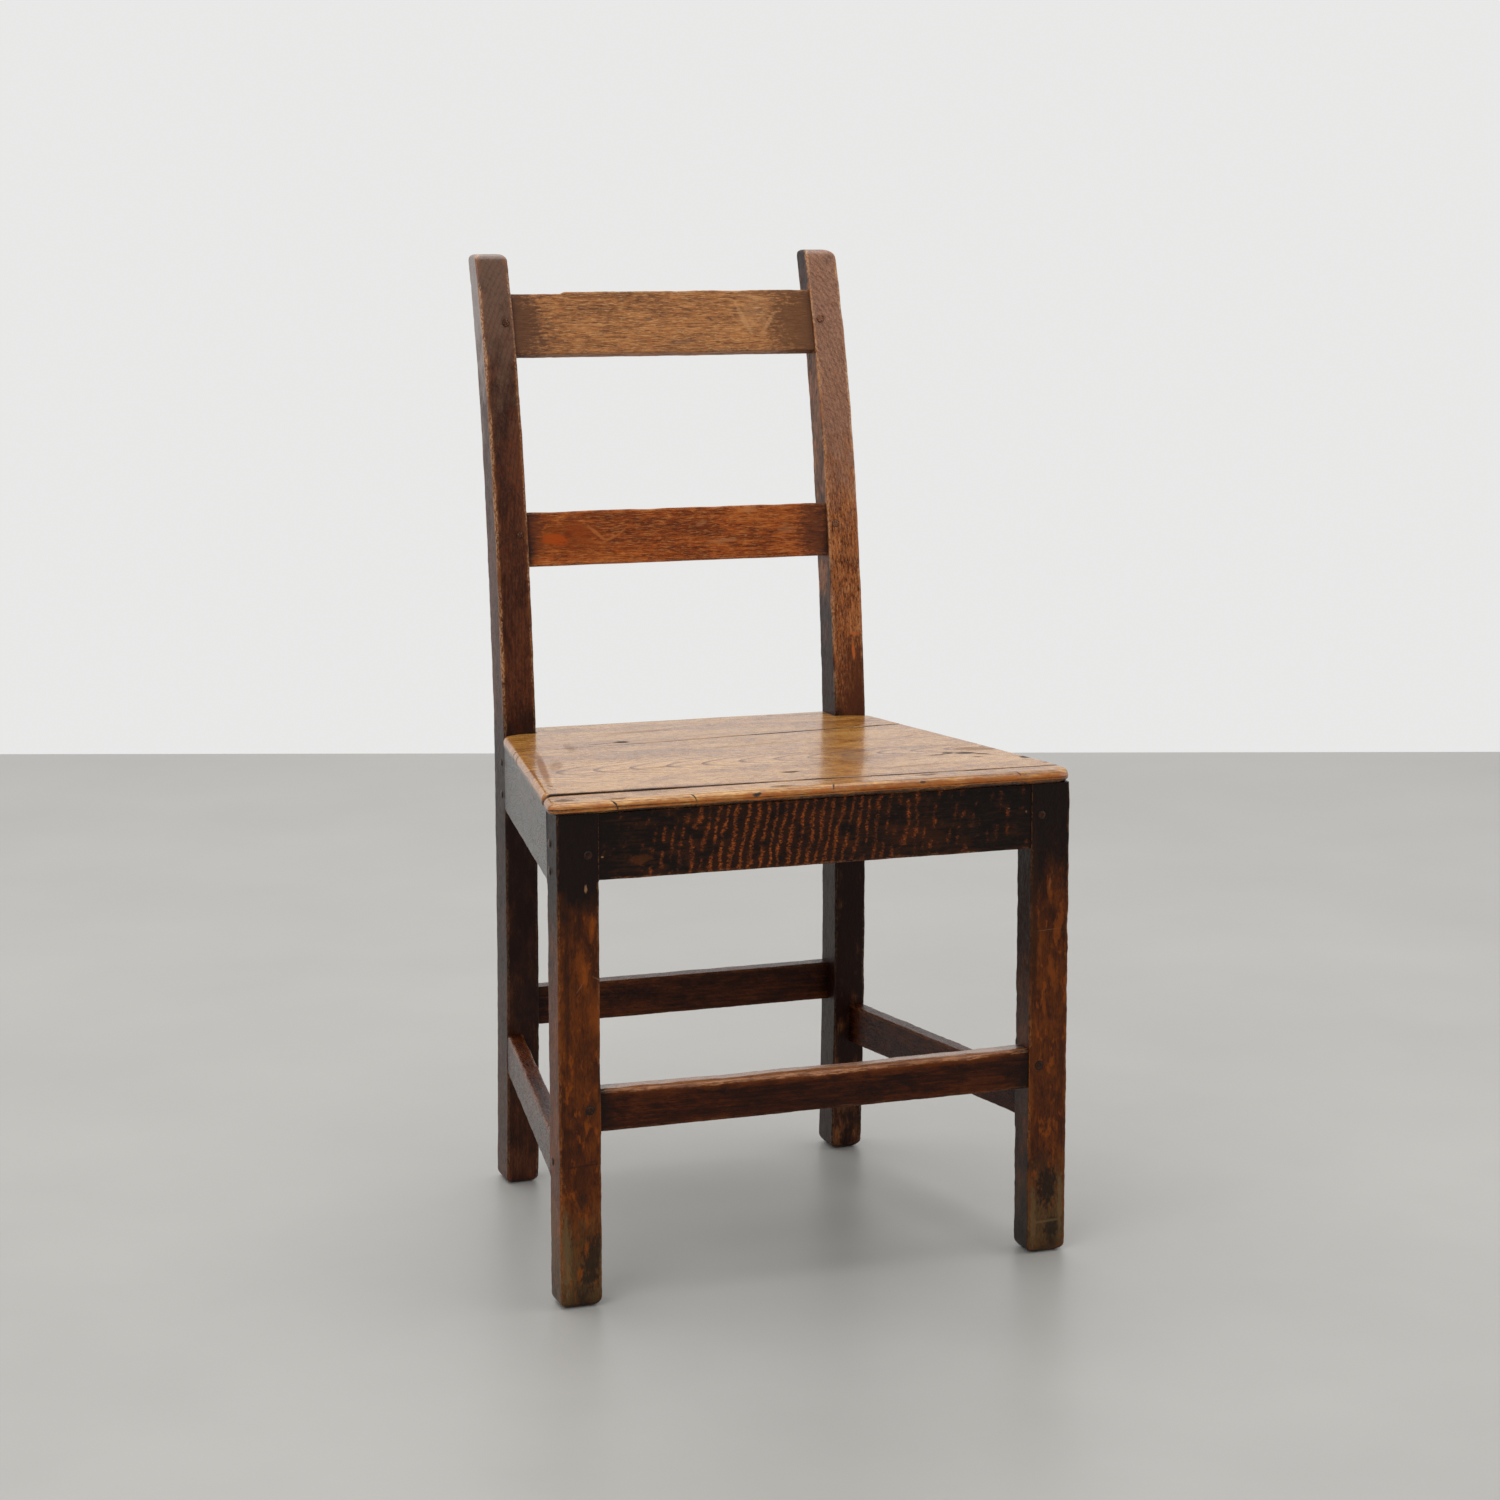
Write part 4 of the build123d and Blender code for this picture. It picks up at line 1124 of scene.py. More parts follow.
# ---- front legs ----
@dataclass
class FrontLegs:
    """The two square front legs, nearly black under the seat and rubbed brown below.

    The arrises grow at the foot by spread times the foot's inset.
    """

    shop: Workshop
    foot_round: float = 8 * MM
    step: float = 2.2 * MM
    even: Four = (1.9, 1.9, 1.9, 1.9)
    uneven: float = 0.3
    tight: float = 0.35 * MM
    spread: float = 0.4
    log: Log = Log((70 * MM, 45 * MM), (0.01, -0.015), start=1.7)
    grime_and_shade: Stops = ((0, 0.50), (25, 0.34), (60, 0.20), (250, 0.16), (330, 0.42), (375, 0.85), (438, 1.05))
    wear: Stops = ((0, 0.5), (50, 0.8), (330, 0.85), (390, 0.55), (438, 0.42))
    foot_film: Stops = ((0, 1.1), (45, 0.85), (95, 0.15), (130, -1.0), (438, -1.0))
    # face_shade: painted shade on the back, inner, front and outer faces, most on the inner one
    face_shade: Four = (0.2, 0.42, 0.0, 0.08)

    def arrises(self, z: Array, seed: int, fronts: Array, sides: Array) -> Array:
        """Radii of the four arrises; those that meet a rail's face stay tight beside it.

        Args:
            z: stations.
            seed: seed of the leg.
            fronts, sides: (m, 2) heights where the front and the side members join the leg.
        Returns:
            Radii in metres, (n, 4).
        """
        radius = arrises(z, self.even, seed, self.uneven)

        for corner, members in ((Corner.MINUS_MINUS, fronts), (Corner.PLUS_PLUS, sides),
                                (Corner.MINUS_PLUS, np.concatenate([fronts, sides]))):
            radius[within(z, members, MM), corner] = self.tight
        return radius

    def build(self, side: Side) -> None:
        """Makes one leg.

        Args:
            side: which one.
        """
        node = f"{side.word}_front_leg"
        low, high = node_box(node)
        fronts = spans("front_seat_rail", "front_stretcher")
        sides = spans(f"{side.word}_side_seat_rail", f"{side.word}_side_stretcher")
        z = stations(low[2], high[2], self.step, self.foot_round)
        seed = 100 + 50 * side.value
        inset = end_inset(z - low[2], self.foot_round)
        size, centre = (high - low) / 2, (high + low) / 2
        member = Member(
            spine=line(centre[0], centre[1], z), first=side.value * X, second=Y,
            half_first=size[0] - inset, half_second=size[1] - inset,
            arris=self.arrises(z, seed, fronts, sides) + inset[:, None] * self.spread,
            wear=profile(z, self.wear)[:, None] * np.ones(4), grime_and_shade=profile(z, self.grime_and_shade),
            figure=profile(z, self.foot_film), face_shade=self.face_shade,
            log=replace(self.log, start=self.log.start * side.value), seed=seed,
        )
        self.shop.place(node, member.skin(), LEG_OAK)


# ---- back posts ----
@dataclass(frozen=True)
class PostWear:
    """How one back post is worn, with painted shade below the seat and a painted sheen up the post.

    Its tip is rounded by tip_outer and tip_inner and its foot by foot, and short is what wear
    has taken off its height, all in mm. A nick is an arris, a height and a depth in mm.
    """

    finish: Oak
    tip_outer: float
    tip_inner: float
    foot: float
    film: Stops
    grime_and_shade: Stops
    nicks: tuple[tuple[Corner, float, float], ...]
    short: float = 0.0


POST_WEAR = {
    Side.LEFT: PostWear(
        LEFT_POST_OAK, tip_outer=5.0, tip_inner=6.5, foot=7.0, short=2.8,
        # film: a pale film up the post, worn and partly a painted sheen
        film=((0, -1.0), (560, -1.0), (700, -0.1), (780, 0.45), (850, 0.9), (911, 1.1)),
        # grime_and_shade: old dirt, and painted shade below the seat
        grime_and_shade=((0, 0.48), (30, 0.42), (120, 0.56), (330, 0.82), (430, 0.86), (452, 0.62),
               (480, 0.18), (540, 0.06), (911, 0.04)),
        nicks=((Corner.PLUS_PLUS, 877, 2.0), (Corner.PLUS_MINUS, 893, 1.0)),
    ),
    Side.RIGHT: PostWear(
        RIGHT_POST_OAK, tip_outer=9.0, tip_inner=4.0, foot=9.0,
        # film: a pale film up the post, worn and partly a painted sheen
        film=((0, -1.0), (540, -1.0), (640, 0.1), (720, 0.9), (911, 1.2)),
        # grime_and_shade: old dirt, and painted shade below the seat
        grime_and_shade=((0, 0.66), (60, 0.70), (160, 0.90), (330, 0.95), (430, 0.98), (452, 0.70),
               (490, 0.42), (570, 0.14), (860, 0.04), (911, 0.30)),
        nicks=((Corner.MINUS_MINUS, 585.5, 2.4), (Corner.MINUS_MINUS, 716, 1.2)),
    ),
}


@dataclass
class BackPosts:
    """The two back posts: a kicked foot, a straight shank and a back that sweeps away.

    Above the seat the front face is set back by lean * rise + sweep * share^3, with the bend
    softened to softness * log(1 + exp(rise / softness)); below the kick's height it runs out by
    kick * (1 - z / height)^1.5. The depth thins by (full - tip) * share^1.5.
    """

    shop: Workshop
    lean: float = 0.0984
    sweep: float = 42.6 * MM
    softness: float = 14 * MM
    kick: float = 9.5 * MM
    kick_height: float = 240 * MM
    depth: float = 37 * MM
    tip_depth: float = 27 * MM
    tip_fall: float = 6.5 * MM
    step: float = 3.0 * MM
    even: Four = (1.7, 1.7, 1.7, 1.7)
    uneven: float = 0.3
    snug: float = 1.0 * MM
    nick_reach: float = 3.0 * MM
    log: Log = Log((60 * MM, 40 * MM), (0.0, 0.03), start=2.9)
    # face_shade: painted shade on the back, inner, front and outer faces, most on the inner one
    face_shade: Four = (0.1, 0.50, 0.0, 0.0)
    face_figure: Four = (0.0, -1.6, 0.0, 0.0)
    wear: tuple[Stops, ...] = (
        ((0, 0.2), (450, 0.2), (911, 0.5)),
        ((0, 0.1), (450, 0.1), (911, 0.4)),
        ((0, 0.2), (60, 0.1), (440, 0.1), (520, 0.6), (911, 0.7)),
        ((0, 0.2), (60, 0.15), (440, 0.15), (520, 0.9), (911, 0.95)),
    )

    def __post_init__(self) -> None:
        """Reads the levels and faces that the posts keep to from the frame."""
        self.low, self.high = node_box("left_back_post")
        self.seat = node_box("middle_seat_board")[1, 2]
        self.width = self.high[0] - self.low[0]
        self.outer = -self.low[0]
        self.front = node_box("back_stretcher")[1, 1] - self.depth

    def share(self, z: Array) -> Array:
        """How far up from the seat to the tip heights z lie, from 0 to 1."""
        return np.clip((z - self.seat) / (self.high[2] - self.seat), 0, 1)

    def set_back(self, z: Array) -> Array:
        """How far the front face lies behind the shank's.

        Args:
            z: heights.
        Returns:
            Distances, of the shape of z.
        """
        bend = self.softness * np.logaddexp(0, (z - self.seat) / self.softness)
        kick = self.kick * np.clip(1 - z / self.kick_height, 0, 1) ** 1.5
        return self.lean * bend + self.sweep * self.share(z) ** 3 + kick

    def thickness(self, z: Array) -> Array:
        """Front to back size at heights z."""
        return self.depth - (self.depth - self.tip_depth) * self.share(z) ** 1.5

    def arrises(self, z: Array, worn: PostWear, seed: int) -> Array:
        """Radii of the four arrises.

        The inner front one is snug beside the rails, and each nick adds
        depth * exp(-((z - height) / reach)^2) to its own.

        Args:
            z: stations.
            worn: how the post is worn.
            seed: seed of the post.
        Returns:
            Radii in metres, (n, 4).
        """
        radius = arrises(z, self.even, seed, self.uneven)
        joins = within(z, spans("top_back_rail", "middle_back_rail", "back_stretcher"))
        inner_front = Corner.MINUS_MINUS
        radius[joins, inner_front] = np.minimum(radius[joins, inner_front], self.snug)
        for corner, height, depth in worn.nicks:
            radius[:, corner] += depth * MM * np.exp(-(((z - height * MM) / self.nick_reach) ** 2))
        return radius

    def build(self, side: Side) -> None:
        """Makes one post.

        Args:
            side: which one.
        """
        node = f"{side.word}_back_post"
        worn = POST_WEAR[side]
        foot_round, tip_outer, tip_inner = worn.foot * MM, worn.tip_outer * MM, worn.tip_inner * MM
        top = self.high[2] - worn.short * MM
        z = stations(self.low[2], top, self.step, foot_round, max(tip_outer, tip_inner))
        foot = end_inset(z - self.low[2], foot_round)
        outer, inner, face = (foot + end_inset(top - z, size)
                              for size in (tip_outer, tip_inner, self.tip_fall))
        deep = self.thickness(z)
        x = self.outer - self.width / 2 + (inner - outer) / 2
        y = self.front + self.set_back(z) + deep / 2
        seed = 400 + 60 * side.value
        member = Member(
            spine=line(side.value * x, y, z), first=side.value * X, second=Y,
            half_first=self.width / 2 - (inner + outer) / 2, half_second=deep / 2 - face,
            arris=self.arrises(z, worn, seed) + (inner + outer)[:, None] / 4,
            wear=np.stack([profile(z, stops) for stops in self.wear], axis=1),
            grime_and_shade=profile(z, worn.grime_and_shade), figure=profile(z, worn.film),
            face_shade=self.face_shade, face_figure=self.face_figure,
            log=replace(self.log, start=self.log.start + side.value), seed=seed,
        )
        self.shop.place(node, member.skin(), worn.finish)


# ---- rails and stretchers ----
@dataclass(frozen=True)
class CrossShape:
    """How one cross member is worn.

    Arris radii in mm and their wear run front top, back top, back bottom, front bottom. The
    ends are grimed by end_grime, and a figured member shows its rays round figure_at.
    """

    node: str
    arris: Four
    wear: Four
    finish: Oak
    seed: int
    tread: float = 0.0
    dip: float = 0.0
    grime_and_shade: float = 0.1
    end_grime: float = 0.8
    figured: bool = False
    figure: float = 0.0
    face_figure: Four = (0.0, 0.0, 0.0, 0.0)


@dataclass
class CrossMembers:
    """Members between two uprights: seat rails and stretchers at the front and at the back."""

    shop: Workshop
    step: float = 2.4 * MM
    bury: float = 0.6 * MM
    uneven: float = 0.22
    end_fade: float = 22 * MM
    figure_at: float = -65 * MM
    figure_left: float = 85 * MM
    figure_right: float = 175 * MM
    log: Log = Log((35 * MM, 62 * MM), (0.004, 0.01))
    shapes: tuple[CrossShape, ...] = (
        CrossShape("front_seat_rail", (0.8, 0.8, 1.0, 1.2), (0.1, 0.1, 0.3, 0.75), FRONT_RAIL_OAK,
                   700, grime_and_shade=0.0, end_grime=0.6, figured=True),
        CrossShape("back_seat_rail", (0.8, 0.8, 1.2, 1.2), (0.1, 0.1, 0.4, 0.4), RAIL_OAK, 720),
        # figure and face_figure lay the pale film on the top face: worn, and partly a painted highlight
        CrossShape("front_stretcher", (4.2, 2.0, 1.6, 1.4), (1.0, 0.5, 0.1, 0.15),
                   FRONT_STRETCHER_OAK, 740, tread=3.4, dip=1.6, grime_and_shade=0.12, figure=-0.65,
                   face_figure=(2.7, 0.0, 0.0, 0.0)),
        # less grime_and_shade than the others: painted light on a member in shade
        CrossShape("back_stretcher", (1.6, 1.6, 1.4, 1.4), (0.15, 0.15, 0.1, 0.1),
                   BACK_STRETCHER_LIT_OAK, 760, grime_and_shade=-0.1, end_grime=0.6),
    )

    def build(self, shape: CrossShape) -> None:
        """Makes one member.

        The upper front arris grows by tread * sin(pi * share)^0.7 * (1 + waver) and the top
        sinks by dip * sin(pi * share), where share runs from 0 to 1 between the uprights. The
        grime of an end fades as exp(-distance / end_fade).

        Args:
            shape: which one, and how it is worn.
        """
        low, high = node_box(shape.node)
        upright = "right_front_leg" if low[1] < 0 else "right_back_post"
        half = node_box(upright)[0, 0]
        x = np.linspace(-half - self.bury, half + self.bury, int(2 * half / self.step))
        share = np.clip((x + half) / (2 * half), 0, 1)
        arch = np.sin(np.pi * share)
        worn = (1 + 0.35 * Waver(shape.seed + 5, 90 * MM).along(x)) * arch**0.7
        dip = shape.dip * MM * arch * (1 + 0.3 * Waver(shape.seed + 6, 120 * MM).along(x))
        radius = arrises(x, shape.arris, shape.seed, self.uneven)
        radius[:, 0] += shape.tread * MM * worn
        size, centre = (high - low) / 2, (high + low) / 2
        end = np.minimum(share, 1 - share) * 2 * half
        wear = np.array(shape.wear) * np.ones((len(x), 1))
        wear[:, 0] *= 0.55 + 0.45 * arch**0.5
        wide = np.where(x < self.figure_at, self.figure_left, self.figure_right)
        rays = np.exp(-(((x - self.figure_at) / wide) ** 2))
        member = Member(
            spine=line(x, centre[1], centre[2] - dip / 2), first=-Y, second=Z,
            half_first=size[1], half_second=size[2] - dip / 2, arris=radius, wear=wear,
            grime_and_shade=shape.grime_and_shade + (shape.end_grime - shape.grime_and_shade) * np.exp(-end / self.end_fade),
            figure=rays if shape.figured else shape.figure, face_figure=shape.face_figure,
            log=replace(self.log, start=shape.seed * 0.013), seed=shape.seed,
        )
        self.shop.place(shape.node, member.skin(), shape.finish)


@dataclass(frozen=True)
class SideShape:
    """How a side member is worn.

    Arris radii in mm and their wear run outer top, inner top, inner bottom, outer bottom; bury
    is how far its back end runs into the post.
    """

    node: str
    thick: float
    arris: Four
    wear: Four
    finish: Oak
    seed: int
    grime_and_shade: float
    bury: float


@dataclass
class SideMembers:
    """The slanting seat rails and low stretchers at the sides.

    A member's section at depth y is centred on the straight line from the outer back corner of
    the front leg to the outer front corner of the back post, moved in by half its thickness.
    """

    shop: Workshop
    posts: BackPosts
    step: float = 2.4 * MM
    bury: float = 0.6 * MM
    uneven: float = 0.25
    end_grime: float = 0.6
    end_fade: float = 16 * MM
    log: Log = Log((48 * MM, 52 * MM), (0.0, 0.02))
    shapes: tuple[SideShape, ...] = (
        SideShape("side_seat_rail", 20 * MM, (0.8, 0.8, 1.2, 1.4), (0.1, 0.1, 0.3, 0.45),
                  RAIL_OAK, 800, 0.0, bury=0.6 * MM),
        SideShape("side_stretcher", 15.5 * MM, (2.6, 1.8, 1.4, 1.4), (0.35, 0.25, 0.1, 0.1),
                  STRETCHER_OAK, 840, 0.05, bury=4.5 * MM),
    )

    def build(self, shape: SideShape, side: Side) -> None:
        """Makes one member.

        Args:
            shape: which one, and how it is worn.
            side: the side it is on.
        """
        node = f"{side.word}_{shape.node}"
        low, high = node_box(node)
        leg, post = node_box(f"{side.word}_front_leg"), node_box(f"{side.word}_back_post")
        ends = np.array([leg[1, 1], self.posts.front])
        outer = np.array([abs(leg[:, 0]).max(), abs(post[:, 0]).max()])
        slope = (outer[1] - outer[0]) / (ends[1] - ends[0])
        y = np.linspace(ends[0] - self.bury, ends[1] + shape.bury, int((ends[1] - ends[0]) / self.step))
        half_x = shape.thick / 2 * math.hypot(1, slope)
        x = outer[0] + slope * (y - ends[0]) - half_x
        seed = shape.seed + 15 * side.value
        gap = np.clip(np.minimum(y - ends[0], ends[1] - y), 0, None)
        member = Member(
            spine=line(side.value * x, y, (low[2] + high[2]) / 2), first=side.value * X, second=Z,
            half_first=half_x, half_second=(high[2] - low[2]) / 2,
            arris=arrises(y, shape.arris, seed, self.uneven), wear=shape.wear,
            grime_and_shade=shape.grime_and_shade + self.end_grime * np.exp(-gap / self.end_fade),
            log=replace(self.log, start=seed * 0.017), seed=seed,
        )
        self.shop.place(node, member.skin(), shape.finish)


# ---- back rails ----
@dataclass(frozen=True)
class CrestShape:
    """One rail of the back: its level heights in mm, its finish and its worn step in mm."""

    node: str
    bottom: float
    height: float
    finish: Oak
    seed: int
    worn_step: float


@dataclass
class BackRails:
    """The two flat rails of the back, which lean with the posts.

    The upper edge of the top rail is cut down by its step over step_length at the left and
    ramps up over ramp; both rails darken towards the posts as exp(-gap / fade).
    """

    shop: Workshop
    posts: BackPosts
    thick: float = 16 * MM
    set_in: float = 3.5 * MM
    bury: float = 0.6 * MM
    step: float = 2.0 * MM
    step_length: float = 50 * MM
    ramp: float = 5 * MM
    waver: float = 0.35 * MM
    fade: float = 15 * MM
    end_grime: float = 0.85
    arris: Four = (1.4, 1.4, 1.4, 1.4)
    uneven: float = 0.3
    wear: Four = (0.62, 0.6, 0.5, 0.55)
    log: Log = Log((26 * MM, 70 * MM), (0.02, 0.01))
    shapes: tuple[CrestShape, ...] = (
        CrestShape("middle_back_rail", 610, 52, MIDDLE_RAIL_OAK, 900, 0.0),
        CrestShape("top_back_rail", 813, 60, TOP_RAIL_OAK, 940, 2.0),
    )

    def build(self, shape: CrestShape) -> None:
        """Makes one rail.

        Args:
            shape: which one, and how it is worn.
        """
        half = self.posts.outer - self.posts.width
        x = np.linspace(-half - self.bury, half + self.bury, int(2 * half / self.step))
        bottom, top = shape.bottom * MM, (shape.bottom + shape.height) * MM
        levels = np.array([bottom, (bottom + top) / 2, top])
        low, middle, high = self.posts.front + self.posts.set_back(levels)
        lean = math.atan2(high - low, top - bottom)
        up = np.array([0, math.sin(lean), math.cos(lean)])
        front = np.array([0, -math.cos(lean), math.sin(lean)])
        tall = math.hypot(top - bottom, high - low)
        raised = np.clip((x + half - self.step_length) / self.ramp, 0, 1)
        uneven = self.waver * Waver(shape.seed + 7, 70 * MM).along(x)
        cut = shape.worn_step * MM * (1 - raised) + np.clip(uneven, 0, None)
        centre = np.array([0, middle, (bottom + top) / 2]) - front * (self.set_in + self.thick / 2)
        gap = np.clip(half - np.abs(x), 0, None)
        member = Member(
            spine=centre + x[:, None] * X - up * cut[:, None] / 2, first=front, second=up,
            half_first=self.thick / 2, half_second=tall / 2 - cut / 2,
            arris=arrises(x, self.arris, shape.seed, self.uneven), wear=self.wear,
            grime_and_shade=self.end_grime * np.exp(-gap / self.fade),
            log=replace(self.log, start=shape.seed * 0.011), seed=shape.seed,
        )
        self.shop.place(shape.node, member.skin(), shape.finish, "oak_back_rails")


# ---- seat ----
@dataclass(frozen=True)
class Joint:
    """A board's edge at a joint.

    left and right are its depths in mm behind the legs' front faces, at the left leg and at the
    right one. corner is the rounding of its left end, and shut how tightly its left part closes.
    """

    left: float
    right: float
    corner: float = 0.0
    shut: float = 0.0


@dataclass(frozen=True)
class BoardShape:
    """One seat board. An edge that is None is an outer edge of the seat.

    figure is the centre and the reach of the ray figure, x and y; worn is how far its top is
    rubbed down at the left, in mm.
    """

    node: str
    near: Joint | None
    far: Joint | None
    seed: int
    log: Log
    figure: Four
    worn: float = 0.0


@dataclass(frozen=True)
class Dent:
    """A dent in the seat's edge: its place from the middle and from the legs' front, in mm."""

    x: float
    y: float
    depth: float
    reach: float


@dataclass
class SeatBoards:
    """The three boards of the seat.

    A board is a top sheet and a bottom sheet on the same grid, joined by a rim. With d the
    distance inwards from the seat's nosed outline, the top lies r - sqrt(r^2 - (r - d)^2) below
    the seat's height for d < r, and the bottom likewise above its own. A joint edge is eased in
    the same way with a small radius.
    """

    shop: Workshop
    posts: BackPosts
    nose_front: float = 4 * MM
    nose_side: float = 2 * MM
    top_round: float = 5 * MM
    bottom_round: float = 3.5 * MM
    front_extra: float = 2.5 * MM
    front_reach: float = 12 * MM
    left_corner: float = 10 * MM
    right_corner: float = 18 * MM
    back_corner: float = 14 * MM
    corner_wear: float = 2.2 * MM
    corner_reach: float = 40 * MM
    post_play: float = 0.3 * MM
    joint_round: float = 1.1 * MM
    joint_soil: float = 0.8 * MM
    sink: float = 0.22 * MM
    # under_grime: painted shade on the bottom sheet, which darkens the lower half of the nosing
    under_grime: float = 0.75
    # side_grime: how much darker the seat grows towards its sides
    side_grime: float = 0.26
    side_fade: float = 12 * MM
    side_wear: float = 0.4
    shut_at: float = -95 * MM
    shut_reach: float = 60 * MM
    grid: float = 2.6 * MM
    fall: Stops = ((-250, 1.0), (-33, 0.15), (240, 0.0))
    dents: tuple[Dent, ...] = (
        Dent(-60, -3, 1.0, 5), Dent(22, -3.5, 0.8, 4), Dent(131, -3, 1.2, 6),
        Dent(199, -2, 1.0, 5), Dent(234, 4, 1.4, 5),
    )
    boards: tuple[BoardShape, ...] = (
        BoardShape("front_seat_board", None, Joint(37.8, 23.1, corner=7.0), 1000,
                   Log((30 * MM, 52 * MM), (0.01, 0.02), 0.4), (0.0, 0.0, 1.0, 1.0), worn=1.8),
        BoardShape("middle_seat_board", Joint(41.2, 24.2, corner=6.0),
                   Joint(256.6, 296.2, shut=3.0), 1040,
                   Log((-108 * MM, 46 * MM), (0.0, -0.13), 1.1), (0.045, -0.090, 0.07, 0.05)),
        BoardShape("back_seat_board", Joint(256.8, 299.2, shut=3.0), None, 1080,
                   Log((70 * MM, 40 * MM), (0.02, 0.0), 2.3), (0.0, 0.10, 0.14, 0.04)),
    )

    def __post_init__(self) -> None:
        """Reads the levels and faces that the seat keeps to from the frame."""
        leg = node_box("right_front_leg")
        self.datum = leg[0, 1]
        self.front = self.datum - self.nose_front
        self.half, self.leg_back, self.bottom = leg[1]
        self.top = node_box("middle_seat_board")[1, 2]
        self.notch_x = self.posts.outer - self.posts.width - self.post_play
        self.notch_y = self.posts.front - self.post_play
        self.back = node_box("back_seat_rail")[1, 1]
        self.slope = (self.posts.outer - self.half) / (self.posts.front - self.leg_back)
        self.slant = math.hypot(1, self.slope)

    def half_width(self, y: Array) -> Array:
        """Half the seat's width at depth y, before its corners are rounded."""
        return self.half + self.slope * (y - self.leg_back) + self.nose_side * self.slant

    def corners(self, front_corner: Array | float) -> tuple[tuple, ...]:
        """The front and the back corner's centre in y, its radius and the sign that leads out."""
        return ((self.front + front_corner, front_corner, -1),
                (self.notch_y - self.back_corner, self.back_corner, 1))

    def corner_centre(self, y: float, radius: float) -> float:
        """How far from the middle the centre of a rounded corner lies, when it lies at depth y."""
        return self.half_width(y) - radius * self.slant

    def rounded_half(self, y: Array, front_corner: float) -> Array:
        """Half the width with its corners: past a tangent point it is centre + sqrt(r^2 - dy^2).

        Args:
            y: depths.
            front_corner: radius of the front corner.
        Returns:
            Half widths, of the shape of y.
        """
        half = self.half_width(y)
        for centre, radius, sign in self.corners(front_corner):
            chord = np.sqrt(np.clip(radius**2 - (y - centre) ** 2, 0, None))
            arc = self.corner_centre(centre, radius) + chord
            beyond = sign * (y - centre + radius * self.slope / self.slant) > 0
            half = np.where(beyond, np.minimum(arc, half), half)
        return half

    def drawn_in(self, board: BoardShape, x: Array, y: Array) -> Array:
        """How far wear has drawn the sides in.

        At the right by wear * exp(-((y - front) / reach)^2), and at the left by the rounded ends
        of the board's joints.

        Args:
            board: the board.
            x, y: places on it.
        Returns:
            Distances, of the shape of x.
        """
        right = self.corner_wear * np.exp(-(((y - self.front) / self.corner_reach) ** 2))
        left = 0 * y
        if board.near:
            left = left + end_inset(y - self.across(board.near, x), board.near.corner * MM)
        if board.far:
            left = left + end_inset(self.across(board.far, x) - y, board.far.corner * MM)
        return np.where(x > 0, right, left)

    def edge_gap(self, board: BoardShape, x: Array, y: Array) -> Array:
        """Distance inwards from the seat's nosed outline.

        Round a corner it is the corner's radius less the distance from its centre. In front of a
        post it is at most the way to the notch plus the way to that centre.

        Args:
            board: the board.
            x, y: places on it.
        Returns:
            Distances, of the shape of x and never under 0.
        """
        reach = np.abs(x) + self.drawn_in(board, x, y)
        gap = np.minimum((self.half_width(y) - reach) / self.slant, y - self.front)
        for centre, radius, sign in self.corners(np.where(x > 0, self.right_corner, self.left_corner)):
            past_centre = reach - self.corner_centre(centre, radius)
            within = (past_centre > 0) & (sign * (y - centre + self.slope * past_centre) > 0)
            gap = np.where(within, radius - np.hypot(past_centre, y - centre), gap)
        past_corner = reach - self.corner_centre(self.notch_y - self.back_corner, self.back_corner)
        beside_post = (np.abs(x) > self.notch_x + 1e-7) & (past_corner <= 0)
        gap = np.where(beside_post, np.minimum(gap, self.notch_y - y - past_corner), gap)
        return np.clip(np.minimum(gap, self.back - y), 0, None)

    def across(self, joint: Joint, x: Array) -> Array:
        """Depth at x of a joint's edge."""
        left, right = self.datum + joint.left * MM, self.datum + joint.right * MM
        return (left + right) / 2 + (right - left) / 2 * x / self.half

    def lowered(self, board: BoardShape, x: Array) -> Array:
        """How far the board's top is rubbed down at x."""
        return board.worn * MM * profile(x, self.fall)

    def ease(self, length: float, near_round: float, far_round: float) -> Array:
        """Shares from 0 to 1 across a length, drawn together at its two rounded edges."""
        return stations(0, length, self.grid, near_round, far_round) / length

    def plan(self, board: BoardShape) -> tuple[Array, Array, Array]:
        """Lays out the board's grid.

        Its rows run across the seat between the board's joints, and its columns crowd at the
        sides and at the notches. As the rounded sides depend on y and the slanting joints on x,
        both are worked out in turn, four times.

        Args:
            board: the board.
        Returns:
            x and y of the grid's points, (rows, columns), and which of its cells are wood.
        """
        near = board.near or Joint(*(-self.nose_front / MM,) * 2, corner=self.top_round / MM)
        far = board.far or Joint(*((self.notch_y - self.datum) / MM,) * 2)
        depth = (far.left + far.right - near.left - near.right) / 2 * MM
        rows = self.ease(depth, max(near.corner * MM, self.joint_round),
                         max(far.corner * MM, self.joint_round))
        shares = self.ease(self.half - self.notch_x, self.top_round, self.joint_round)
        inner = self.ease(2 * self.notch_x, self.joint_round, self.joint_round) * 2 - 1
        inner = self.notch_x * inner[1:-1]
        columns = 2 * len(shares) + len(inner)
        y = np.full((len(rows), columns), self.datum + near.left * MM)
        for _ in range(4):
            blocks = []
            for sign, corner, beside in ((-1, self.left_corner, y[:, : len(shares)]),
                                         (1, self.right_corner, y[:, : -len(shares) - 1 : -1])):
                limit = self.rounded_half(beside, corner)
                limit = limit - self.drawn_in(board, sign * limit, beside)
                blocks.append(sign * (limit - (limit - self.notch_x) * shares))
            middle = np.broadcast_to(inner, (len(rows), len(inner)))
            x = np.concatenate([blocks[0], middle, blocks[1][:, ::-1]], axis=1)
            y = self.across(near, x) + rows[:, None] * (self.across(far, x) - self.across(near, x))
        solid = np.ones((len(rows) - 1, columns - 1), bool)
        if board.far is None:
            deep = self.back - self.notch_y
